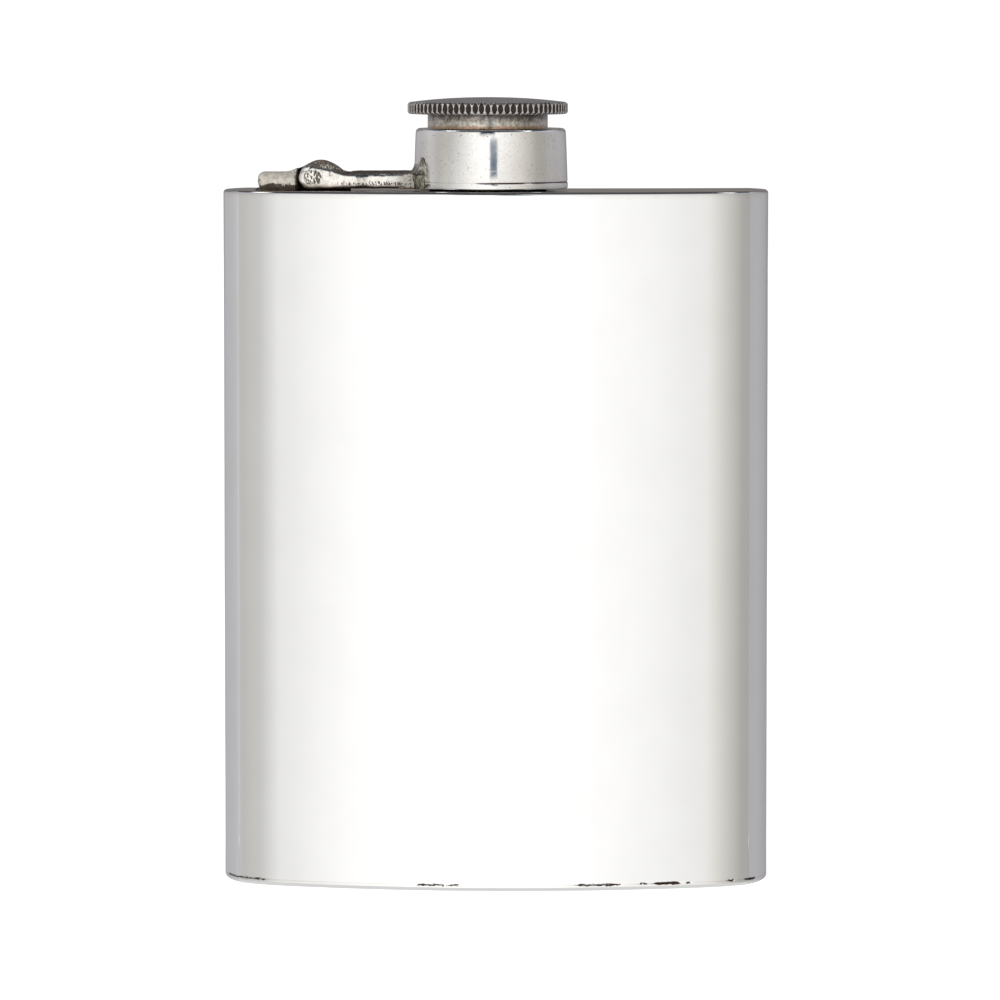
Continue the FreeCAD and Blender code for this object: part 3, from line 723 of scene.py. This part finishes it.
def arm_solder_shape():
    """The run of solder between the arm and the collar: a hollow fillet that creeps up in front."""
    bm = bmesh.new()
    rings = []
    steps = 40
    curve_steps = 8
    base = COLLAR_BOTTOM_R - RUN_SUNK
    foot = ARM_LOW + 0.1
    brow = ARM_TOP - 0.15
    for i in range(steps + 1):
        turn = -RUN_REACH + 2 * RUN_REACH * i / steps
        fall = 1 - ease(abs(turn), RUN_BROAD, RUN_REACH)
        creep = bell(math.degrees(turn), CREEP_TURN, CREEP_REACH)
        leg = 0.15 + 1.25 * fall
        climb = 0.3 + 1.2 * fall + 1.7 * creep
        side = 0.1 + 0.6 * fall
        profile = [(base - RUN_BACK, foot), (base + side * 0.7, foot), (base + side, ARM_LOW + 0.9),
                   (base + side, ARM_TOP - 0.5)]
        for k in range(curve_steps + 1):
            t = QUARTER_TURN * k / curve_steps
            profile.append((base + max(leg, 0.45 * creep) * (1 - math.sin(t)) + 0.16 * creep,
                            brow + climb * (1 - math.cos(t))))
        profile.append((base - RUN_BACK, brow + climb))
        way = Vector((-math.cos(turn), math.sin(turn), 0))
        rings.append([Vector((COLLAR_X, AXIS_Y, z)) + way * r for r, z in profile])
    made = loft(bm, rings)
    capped(bm, made[0])
    capped(bm, made[-1])
    bmesh.ops.recalc_face_normals(bm, faces=bm.faces)
    return bm


# ---------------------------------------------------------------- materials
class Finish:
    """A procedural metal. Its textures are laid out in millimetres of the piece's own space."""

    def __init__(self, name):
        self.material = bpy.data.materials.new(name)
        self.material.use_nodes = True
        self.tree = self.material.node_tree
        self.shader = next(n for n in self.tree.nodes if n.type == "BSDF_PRINCIPLED")
        coordinates = self.add("ShaderNodeTexCoord")
        self.place = self.add("ShaderNodeMapping", {"Vector": coordinates.outputs["Object"],
                                                    "Scale": (1 / MM, 1 / MM, 1 / MM)}).outputs[0]
        self.split = self.add("ShaderNodeSeparateXYZ", {"Vector": self.place})
        self.relief = None

    def add(self, kind, values=None, **settings):
        return add_node(self.tree, kind, values, **settings)

    def noise(self, size, detail=2.0, stretch=(1, 1, 1), turn=(0, 0, 0), shift=(0, 0, 0), roughness=0.5):
        """Smooth noise from 0 to 1 whose features are about this size."""
        scale = tuple(1 / (size * part) for part in stretch)
        laid = self.add("ShaderNodeMapping", {"Vector": self.place, "Scale": scale, "Rotation": turn,
                                              "Location": shift})
        return self.add("ShaderNodeTexNoise", {"Vector": laid.outputs[0], "Scale": 1.0, "Detail": detail,
                                               "Roughness": roughness}).outputs["Fac"]

    def spots(self, size, shift=(0, 0, 0)):
        """Distance to the nearest of many scattered points, in units of size."""
        laid = self.add("ShaderNodeMapping", {"Vector": self.place, "Scale": (1 / size,) * 3,
                                              "Location": shift})
        return self.add("ShaderNodeTexVoronoi", {"Vector": laid.outputs[0], "Scale": 1.0}).outputs["Distance"]

    def grime_and_shade(self):
        """What the mesh says of its own dirt and painted shade, from 0 to 1."""
        return self.add("ShaderNodeAttribute", attribute_name="grime_and_shade").outputs["Fac"]

    def mapped(self, value, low, high, to_low=0.0, to_high=1.0):
        made = self.add("ShaderNodeMapRange", {"Value": value, "From Min": low, "From Max": high,
                                               "To Min": to_low, "To Max": to_high})
        made.interpolation_type = "SMOOTHSTEP"
        return made.outputs[0]

    def sum(self, kind, a, b=0.0, c=0.0):
        return self.add("ShaderNodeMath", {0: a, 1: b, 2: c}, operation=kind).outputs[0]

    def mix(self, factor, a, b):
        made = self.add("ShaderNodeMix", data_type="RGBA")
        self.plug(made.inputs[0], factor)
        self.plug(made.inputs[6], colour(a))
        self.plug(made.inputs[7], colour(b))
        return made.outputs[2]

    def plug(self, socket, value):
        plug(self.tree, socket, value)

    def raise_by(self, height, distance):
        """Adds relief: height from 0 to 1 stands for this many millimetres."""
        values = {"Height": height, "Distance": distance * MM, "Strength": 1.0}
        if self.relief is not None:
            values["Normal"] = self.relief
        self.relief = self.add("ShaderNodeBump", values).outputs[0]

    def done(self, **sockets):
        for name, value in sockets.items():
            self.plug(self.shader.inputs[name.replace("_", " ")], value)
        if self.relief is not None:
            self.plug(self.shader.inputs["Normal"], self.relief)
        return self.material


def colour(value):
    return (*value, 1.0) if isinstance(value, tuple) and len(value) == 3 else value


def plug(tree, socket, value):
    if isinstance(value, bpy.types.NodeSocket):
        tree.links.new(value, socket)
    else:
        socket.default_value = value


def add_node(tree, kind, values=None, **settings):
    made = tree.nodes.new(kind)
    for name, value in settings.items():
        setattr(made, name, value)
    for name, value in (values or {}).items():
        plug(tree, made.inputs[name], value)
    return made


def seam_stain(f):
    """Ragged brown tarnish about the open places of the base seam, from 0 to 1."""
    x, y, z = (f.split.outputs[axis] for axis in "XYZ")
    spans = None
    for start, stop, deep in SEAM_PITS:
        middle, half = (start + stop) / 2, (stop - start) / 2
        away = f.sum("ABSOLUTE", f.sum("SUBTRACT", x, middle))
        inside = f.mapped(away, half - min(1.0, half * 0.6), half + 0.4, deep + 0.42, 0.0)
        spans = inside if spans is None else f.sum("MAXIMUM", spans, inside)
    off = f.sum("ABSOLUTE", f.sum("SUBTRACT", z, (BASE_TOP + WALL_LOW) / 2))
    near = f.mapped(off, 0.06, 0.42, 1.0, 0.0)
    front = f.mapped(y, -1.0, 1.0, 1.0, 0.0)
    cover = f.sum("MULTIPLY", f.sum("MULTIPLY", spans, near), front)
    grain = f.noise(0.35, 3.0, (2.2, 1, 1), shift=(4, 4, 4), roughness=0.6)
    reach = f.sum("MULTIPLY_ADD", f.sum("SUBTRACT", grain, 0.5), 1.6, cover)
    return f.mapped(reach, 0.42, 0.58)


def polished(name, light, dark, roughness, pits, scratches, warp, stained=False, soil_and_shade=(0.16, 0.07, 0.04)):
    """Bright polished pewter: faint clouds, hairline scratches, tiny pits and a hand-raised waviness.

    soil_and_shade is the colour of the mesh's grime_and_shade: dirt in joints and seams, and on the top plate
    also a painted dark reflection; stained adds the tarnish of the base seam.
    """
    f = Finish(name)
    clouds = f.mapped(f.noise(9.0, 3.0), 0.35, 0.7)
    # The mesh's grime_and_shade: dirt in joints and seams, and on the top plate a painted dark reflection as
    # well.
    seam = f.grime_and_shade()
    hairs = f.mapped(f.noise(0.5, 1.0, (1, 1, 26), (0.35, 0.5, 0.2)), 0.66, 0.74)
    cross = f.mapped(f.noise(0.4, 1.0, (22, 22, 1), (0.2, 0.1, 0.6), (3, 1, 2)), 0.68, 0.76)
    hairs = f.sum("MAXIMUM", hairs, cross)
    pit = f.mapped(f.spots(0.85), 0.07, 0.14, 1.0, 0.0)
    sparse = f.mapped(f.noise(2.6, 2.0, shift=(7, 7, 7)), 0.40, 0.60)
    pit = f.sum("MULTIPLY", pit, sparse)
    dust = f.mapped(f.noise(0.4, 4.0, shift=(8, 3, 5), roughness=0.75), 0.5, 0.7)
    body = f.mix(clouds, light, dark)
    body = f.mix(f.sum("MULTIPLY", dust, 0.4 * pits), body, (0.36, 0.32, 0.28))
    body = f.mix(f.sum("MULTIPLY", pit, pits), body, (0.10, 0.085, 0.07))
    body = f.mix(seam, body, soil_and_shade)
    rough = f.mapped(f.noise(3.0, 3.0, shift=(1, 5, 2)), 0.3, 0.8, roughness * 0.8, roughness * 1.35)
    rough = f.sum("MULTIPLY_ADD", hairs, scratches, rough)
    metal = 1.0
    if stained:
        stain = seam_stain(f)
        brown = f.mix(f.noise(0.5, 2.0), (0.10, 0.05, 0.03), (0.03, 0.018, 0.014))
        body = f.mix(stain, body, brown)
        rough = f.sum("MULTIPLY_ADD", stain, 0.4, rough)
        metal = f.mapped(stain, 0.0, 1.0, 1.0, 0.3)
    f.raise_by(f.noise(13.0, 1.0), warp)
    f.raise_by(f.noise(1.1, 2.0, shift=(2, 8, 4)), 0.0012)
    f.raise_by(f.noise(0.3, 2.0, shift=(1, 1, 4)), 0.0015 * pits)
    f.raise_by(f.sum("MULTIPLY", hairs, -1.0), 0.0004 * scratches / 0.1)
    f.raise_by(f.sum("MULTIPLY", pit, -1.0), 0.02 * pits)
    return f.done(Base_Color=body, Roughness=rough, Metallic=metal)


def cap_metal():
    """Dull nickel with brown-black dirt in its knurled rim."""
    f = Finish("cap_metal")
    clouds = f.mapped(f.noise(3.0, 3.0), 0.3, 0.7)
    ragged = f.mapped(f.noise(0.3, 2.0), 0.2, 0.8, -0.2, 0.2)
    dirt = f.mapped(f.sum("ADD", f.grime_and_shade(), ragged), 0.3, 0.75)
    grime_and_shade = f.mix(f.noise(0.4, 2.0, shift=(3, 3, 3)), (0.06, 0.032, 0.02), (0.014, 0.009, 0.008))
    body = f.mix(clouds, (0.60, 0.59, 0.575), (0.50, 0.48, 0.46))
    specks = f.mapped(f.noise(0.5, 3.0, shift=(6, 2, 8)), 0.6, 0.7)
    body = f.mix(f.sum("MULTIPLY", specks, 0.6), body, (0.22, 0.16, 0.12))
    body = f.mix(dirt, body, grime_and_shade)
    rough = f.mapped(f.noise(0.8, 3.0, shift=(9, 1, 1)), 0.25, 0.75, 0.22, 0.34)
    rough = f.sum("MULTIPLY_ADD", dirt, 0.25, rough)
    f.raise_by(f.noise(0.25, 2.0), 0.006)
    f.raise_by(f.noise(2.5, 1.0), 0.02)
    return f.done(Base_Color=body, Roughness=rough, Metallic=f.mapped(dirt, 0.0, 1.0, 1.0, 0.4))


PACKED_DIRT_AND_SHADE = (0.012, 0.006, 0.004)     # what fills a hollow whose grime_and_shade is near 1: packed dirt, and the painted shadow in the gap between the lug and the ear


def mottled(name, light, dark, dirt, roughness, size=1.2, relief=0.012, bands=(), metal=1.0):
    """Cast or handled metal: blotches, and specks of tarnish and painted shade as thick as the mesh's
    grime_and_shade says.

    dirt is the deep and thin colour of the tarnish and of the painted shade. bands are (height, reach,
    colour, share): colour that follows a height, tarnish on the arm and painted shade on the cap's shank.
    metal is how metallic the clean skin is.
    """
    f = Finish(name)
    blotch = f.mapped(f.noise(size, 4.0, roughness=0.6), 0.32, 0.68)
    body = f.mix(blotch, light, dark)
    for height, reach, tint, share in bands:
        off = f.sum("ABSOLUTE", f.sum("SUBTRACT", f.split.outputs["Z"], height))
        ragged = f.sum("MULTIPLY_ADD", f.noise(0.8, 3.0, shift=(2, 7, 3)), -0.8 * reach, off)
        body = f.mix(f.mapped(ragged, 0.0, reach * 0.7, share, 0.0), body, tint)
    fine = f.noise(0.24, 3.0, (1, 1, 1.9), shift=(1, 9, 4), roughness=0.6)
    cover = f.sum("MULTIPLY_ADD", f.sum("SUBTRACT", fine, 0.5), 2.0, f.grime_and_shade())
    specks = f.mapped(cover, 0.38, 0.62)
    deep, thin = dirt
    tarnish_and_shade = f.mix(f.noise(0.5, 2.0, shift=(3, 8, 1)), deep, thin)
    body = f.mix(f.sum("MULTIPLY", specks, 0.92), body, tarnish_and_shade)
    # Packed dirt, and painted shadow, where grime_and_shade is near 1.
    packed_and_shaded = f.mapped(f.grime_and_shade(), 0.84, 0.97)
    body = f.mix(packed_and_shaded, body, PACKED_DIRT_AND_SHADE)
    rough = f.mapped(f.noise(size * 0.5, 3.0, shift=(2, 2, 6)), 0.25, 0.75, roughness * 0.75, roughness * 1.3)
    rough = f.sum("MULTIPLY_ADD", specks, 0.26, rough)
    f.raise_by(f.noise(size * 0.6, 3.0, shift=(6, 6, 1)), relief)
    f.raise_by(f.sum("MULTIPLY", specks, -1.0), 0.03)
    shine = f.sum("MULTIPLY", f.mapped(specks, 0.0, 1.0, 0.5, 0.3), f.mapped(packed_and_shaded, 0.0, 1.0, 1.0, 0.1))
    bare = f.mapped(specks, 0.0, 1.0, metal, 0.45 * metal)
    bare = f.sum("MULTIPLY", bare, f.mapped(packed_and_shaded, 0.0, 1.0, 1.0, 0.0))
    return f.done(Base_Color=body, Roughness=rough, Metallic=bare, Specular_IOR_Level=shine)


def liner_material():
    f = Finish("liner_plastic")
    grain = f.noise(0.3, 3.0)
    body = f.mix(grain, (0.86, 0.83, 0.76), (0.80, 0.765, 0.69))
    f.raise_by(f.noise(0.15, 2.0), 0.02)
    return f.done(Base_Color=body, Roughness=f.mapped(grain, 0.2, 0.8, 0.5, 0.65), Metallic=0.0)


# Tarnish: (deep colour, thin colour); the brown one also colours the painted shade on the arm and the hinge
BROWN_DIRT_AND_SHADE = ((0.035, 0.024, 0.018), (0.15, 0.105, 0.075))
OLIVE_DIRT = ((0.04, 0.035, 0.02), (0.17, 0.15, 0.09))
GREY_DIRT = ((0.06, 0.045, 0.035), (0.22, 0.17, 0.13))
SHANK_TOP = span("cap_shell")[1].z
SHANK_FOOT = span("collar")[1].z
PEWTER = polished("polished_pewter", (0.79, 0.785, 0.775), (0.775, 0.77, 0.757), 0.10, 0.0, 0.05, 0.02,
                  stained=True)
COLLAR_PEWTER = polished("collar_pewter", (0.78, 0.765, 0.74), (0.70, 0.68, 0.65), 0.14, 0.85, 0.08, 0.03)
PLATE_PEWTER = polished("plate_pewter", (0.78, 0.775, 0.765), (0.74, 0.73, 0.71), 0.12, 0.2, 0.05, 0.02,
                        soil_and_shade=(0.25, 0.20, 0.16))
SEAM_SOLDER = polished("seam_solder", (0.76, 0.74, 0.70), (0.70, 0.68, 0.63), 0.16, 0.3, 0.05, 0.01,
                       stained=True)
CAP_METAL = cap_metal()
# Painted shade in the shank's bands: a dark violet painted shadow under the cap's head, and brown painted
# shade where the shank meets the collar.
SHANK_METAL = mottled("shank_metal", (0.56, 0.53, 0.47), (0.27, 0.245, 0.205), GREY_DIRT, 0.18, 0.55, 0.012,
                      ((SHANK_TOP, 2.3, (0.045, 0.032, 0.036), 0.92),
                       (SHANK_FOOT, 0.5, (0.34, 0.18, 0.09), 0.7)))
CAST_PEWTER = mottled("cast_pewter", (0.70, 0.68, 0.64), (0.58, 0.54, 0.48), BROWN_DIRT_AND_SHADE, 0.17, 0.8, 0.008,
                      ((ARM_LOW, 0.7, (0.44, 0.29, 0.17), 0.65),))
# Painted light: the hinge's pewter is made near white and almost matte so the lug reads as lit.
HINGE_PEWTER_PAINTED_BRIGHT = mottled("hinge_pewter_painted_bright", (0.97, 0.92, 0.81), (0.72, 0.63, 0.50), BROWN_DIRT_AND_SHADE, 0.34, 0.8, 0.012,
                       metal=0.15)
SOLDER = mottled("solder", (0.56, 0.54, 0.46), (0.28, 0.265, 0.20), OLIVE_DIRT, 0.18, 0.7, 0.01)
DARK_SOLDER = mottled("dark_solder", (0.22, 0.17, 0.12), (0.10, 0.07, 0.05), BROWN_DIRT_AND_SHADE, 0.4)
PIN_METAL = mottled("pin_metal", (0.80, 0.77, 0.72), (0.6, 0.55, 0.48), BROWN_DIRT_AND_SHADE, 0.2, 0.5)
NECK_METAL = mottled("neck_metal", (0.66, 0.64, 0.6), (0.5, 0.47, 0.43), GREY_DIRT, 0.25)
WIRE = mottled("spring_wire", (0.6, 0.58, 0.55), (0.4, 0.38, 0.35), GREY_DIRT, 0.3)
LINER = liner_material()


# ---------------------------------------------------------------- the pieces
wall("front_panel.polished", FRONT, ["front_panel"])
wall("back_panel.polished", BACK, ["back_panel"])
top_plate()
base_plate()
base_solder()
collar()
collar_ring()
cap_head()
cast("captive_arm.cast", "captive_arm", "arm", CAST_PEWTER, arm_form, round_off=round_arm)
cast("hinge_base.cast", "hinge_base", "body", HINGE_PEWTER_PAINTED_BRIGHT, hinge_form, round_off=round_hinge)
cast("arm_solder.run", "arm_solder", "arm", SOLDER, solder_form, passes=8, bm=arm_solder_shape())
cast("hinge_solder.run", "hinge_solder", "body", DARK_SOLDER, solder_form, passes=4)
cast("hinge_pin.worn", "hinge_pin", "arm", PIN_METAL, pin_form, passes=8)

for node, material in {
    "side_solder": SOLDER, "top_solder": SOLDER, "neck": NECK_METAL, "neck_solder": SOLDER,
    "retaining_ring": WIRE, "cap_shell": SHANK_METAL, "cap_liner": LINER,
}.items():
    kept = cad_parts[node]
    kept.data.materials.clear()
    kept.data.materials.append(material)


# ---------------------------------------------------------------- floor and light
def floor():
    bm = bmesh.new()
    bmesh.ops.create_grid(bm, x_segments=24, y_segments=24, size=3.0)
    mesh = bpy.data.meshes.new("floor")
    bm.to_mesh(mesh)
    bm.free()
    ground = bpy.data.objects.new("floor", mesh)
    bpy.context.scene.collection.objects.link(ground)
    ground.visible_glossy = False
    f = Finish("floor_paper")
    paper = f.mix(f.noise(60.0, 2.0), (0.50, 0.50, 0.50), (0.52, 0.52, 0.52))
    mesh.materials.append(f.done(Base_Color=paper, Roughness=0.9, Specular_IOR_Level=0.0,
                                 Emission_Color=(1.0, 1.0, 1.0, 1.0), Emission_Strength=0.9))


NEUTRAL = (1.0, 1.0, 1.0)
WARM = (1.02, 1.0, 0.955)
VIOLET = (1.0, 0.985, 1.02)
BLUE = (0.985, 0.985, 1.05)
# The studio round the flask: (degrees from the front towards +X, brightness, tint)
STUDIO = [(-180, 0.38, BLUE), (-162, 0.50, BLUE), (-142, 0.56, VIOLET), (-128, 0.60, VIOLET),
          (-116, 0.68, VIOLET), (-105, 0.78, NEUTRAL), (-95, 0.72, NEUTRAL), (-84, 0.62, NEUTRAL),
          (-73, 0.68, WARM), (-62, 0.72, NEUTRAL), (-51, 0.88, NEUTRAL), (-44, 0.99, NEUTRAL),
          (-39, 1.06, NEUTRAL), (-34, 1.17, NEUTRAL), (-29, 1.25, NEUTRAL), (-24, 1.32, NEUTRAL),
          (-19, 1.42, NEUTRAL), (0, 1.60, NEUTRAL), (10, 1.42, NEUTRAL), (16, 1.29, NEUTRAL),
          (23, 1.22, NEUTRAL), (29, 1.16, NEUTRAL), (34, 1.08, NEUTRAL), (46, 0.92, WARM), (56, 0.77, WARM),
          (66, 0.64, WARM), (76, 0.50, WARM), (88, 0.48, WARM), (104, 0.54, VIOLET), (130, 0.54, VIOLET),
          (160, 0.42, BLUE), (180, 0.38, BLUE)]
# Two small bright lamps, and two dark patches low behind the flask:
# (degrees from the front towards +X, elevation in degrees, half angle in degrees, colour)
LAMPS = [(-88, 52, 9, (4.0, 4.0, 4.0)), (80, 50, 7, (4.0, 4.0, 4.0)), (180, 32, 42, (0.25, 0.245, 0.26)),
         (180, 4, 12, (0.225, 0.212, 0.20))]
# What is overhead: (height of the direction, from -1 straight down to 1 straight up; colour)
OVERHEAD = [(0.0, (0.9, 0.92, 0.95)), (0.42, (0.76, 0.82, 0.90)), (0.58, (0.50, 0.58, 0.74)),
            (0.68, (0.06, 0.055, 0.06)), (0.86, (0.07, 0.066, 0.068)), (1.0, (0.17, 0.165, 0.165))]


WHITE = (1.0, 1.0, 1.0, 1.0)
BACKDROP = 1.05             # how bright the camera sees the studio's wall
GROUND_GLOW = (0.42, 0.42, 0.42, 1.0)
LAMP_CORE = 0.7             # share of a lamp's half angle that is at full strength


def halved(shade):
    """Colours are stored at half strength, because a ramp holds none above 1."""
    return tuple(part / 2 for part in shade)


def ramp(tree, value, stops):
    made = add_node(tree, "ShaderNodeValToRGB", {"Fac": value})
    points = made.color_ramp.elements
    for i, (place, shade) in enumerate(stops):
        point = points[i] if i < len(points) else points.new(place)
        point.position = place
        point.color = (*shade, 1.0)
    return made.outputs["Color"]


def studio():
    world = bpy.data.worlds.new("studio")
    bpy.context.scene.world = world
    world.use_nodes = True
    tree = world.node_tree
    tree.nodes.clear()

    def math_node(kind, a, b=0.0):
        return add_node(tree, "ShaderNodeMath", {0: a, 1: b}, operation=kind).outputs[0]

    def share_of(value, low, high):
        made = add_node(tree, "ShaderNodeMapRange", {"Value": value, "From Min": low, "From Max": high})
        return made.outputs[0]

    def blend(factor, a, b):
        made = add_node(tree, "ShaderNodeMix", data_type="RGBA")
        for socket, value in zip((0, 6, 7), (factor, a, b)):
            plug(tree, made.inputs[socket], value)
        return made.outputs[2]

    way = add_node(tree, "ShaderNodeTexCoord").outputs["Generated"]
    parts = add_node(tree, "ShaderNodeSeparateXYZ", {"Vector": way})
    forward = math_node("MULTIPLY", parts.outputs["Y"], -1.0)
    turn = math_node("ARCTAN2", parts.outputs["X"], forward)
    around = math_node("ADD", math_node("DIVIDE", turn, 2 * math.pi), 0.5)
    level = math_node("ADD", math_node("MULTIPLY", parts.outputs["Z"], 0.5), 0.5)
    ring = ramp(tree, around, [((angle + 180) / 360, halved(shade * part for part in tint))
                               for angle, shade, tint in STUDIO])
    overhead = ramp(tree, level, [((z + 1) / 2, halved(shade)) for z, shade in OVERHEAD])
    lit = blend(share_of(parts.outputs["Z"], 0.30, 0.5), ring, overhead)
    lit = blend(share_of(parts.outputs["Z"], -0.25, -0.6), lit, GROUND_GLOW)
    for azimuth, elevation, half, shade in LAMPS:
        a, e = math.radians(azimuth), math.radians(elevation)
        lamp = (math.sin(a) * math.cos(e), -math.cos(a) * math.cos(e), math.sin(e))
        facing = add_node(tree, "ShaderNodeVectorMath", {0: way, 1: lamp}, operation="DOT_PRODUCT")
        glow = share_of(facing.outputs["Value"], math.cos(math.radians(half)),
                        math.cos(math.radians(half * LAMP_CORE)))
        lit = blend(glow, lit, (*halved(shade), 1.0))
    light = add_node(tree, "ShaderNodeBackground", {"Color": lit, "Strength": 2.0})
    backdrop = add_node(tree, "ShaderNodeBackground", {"Color": WHITE, "Strength": BACKDROP})
    seen = add_node(tree, "ShaderNodeLightPath").outputs["Is Camera Ray"]
    joined = add_node(tree, "ShaderNodeMixShader", {0: seen, 1: light.outputs[0], 2: backdrop.outputs[0]})
    add_node(tree, "ShaderNodeOutputWorld", {"Surface": joined.outputs[0]})


SCREEN_Y = -62.0
# The cloths: name, left, right, low, high, and the two colours of their weave
SCREENS = [("screen_narrow", 0.3, 11.1, 117.0, 126.2, (0.12, 0.17, 0.25), (0.22, 0.31, 0.40)),
           ("screen_above", -14.5, 7.5, 129.3, 175.0, (0.02, 0.035, 0.065), (0.04, 0.06, 0.10))]
LENS = 240.7
CAMERA_DISTANCE = 1100.0
CAMERA_HEIGHT = 142.0
CAMERA_AZIMUTH = 2.0
CAMERA_PITCH = 4.103
AIM_X = 0.9


def screen(name, left, right, low, high, dark, light):
    """A blue-grey cloth hung before the flask, which only its reflection shows."""
    bm = bmesh.new()
    steps = 24
    edges = []
    for i in range(steps + 1):
        z = low + (high - low) * i / steps
        stray = 0.9 * noise.noise(Vector((0, 0, z * 1.4)))
        edges.append([bm.verts.new((left + stray, SCREEN_Y, z)),
                      bm.verts.new((right + stray * 0.7, SCREEN_Y, z))])
    for lower, upper in zip(edges, edges[1:]):
        bm.faces.new((lower[0], lower[1], upper[1], upper[0]))
    bmesh.ops.scale(bm, vec=(MM, MM, MM), verts=bm.verts)
    mesh = bpy.data.meshes.new(name)
    bm.to_mesh(mesh)
    bm.free()
    hung = bpy.data.objects.new(name, mesh)
    bpy.context.scene.collection.objects.link(hung)
    hung.visible_camera = False
    hung.visible_diffuse = False
    hung.visible_shadow = False
    f = Finish(name + "_cloth")
    cloth = f.mix(f.mapped(f.noise(2.0, 3.0), 0.35, 0.65), dark, light)
    mesh.materials.append(f.done(Base_Color=(0.0, 0.0, 0.0, 1.0), Roughness=1.0, Specular_IOR_Level=0.0,
                                 Emission_Color=cloth, Emission_Strength=1.0))


def camera():
    data = bpy.data.cameras.new("camera")
    data.sensor_width = 36.0
    data.lens = LENS
    data.clip_start = 0.05
    data.clip_end = 20.0
    seen_from = bpy.data.objects.new("camera", data)
    bpy.context.scene.collection.objects.link(seen_from)
    turn = math.radians(CAMERA_AZIMUTH)
    away = Vector((math.sin(turn), -math.cos(turn), 0)) * CAMERA_DISTANCE
    seen_from.location = (Vector((AIM_X, 0, CAMERA_HEIGHT)) + away) * MM
    seen_from.rotation_euler = (math.radians(90 - CAMERA_PITCH), 0, turn)
    bpy.context.scene.camera = seen_from


floor()
studio()
for cloth in SCREENS:
    screen(*cloth)
camera()
bpy.context.scene.view_settings.view_transform = "Standard"
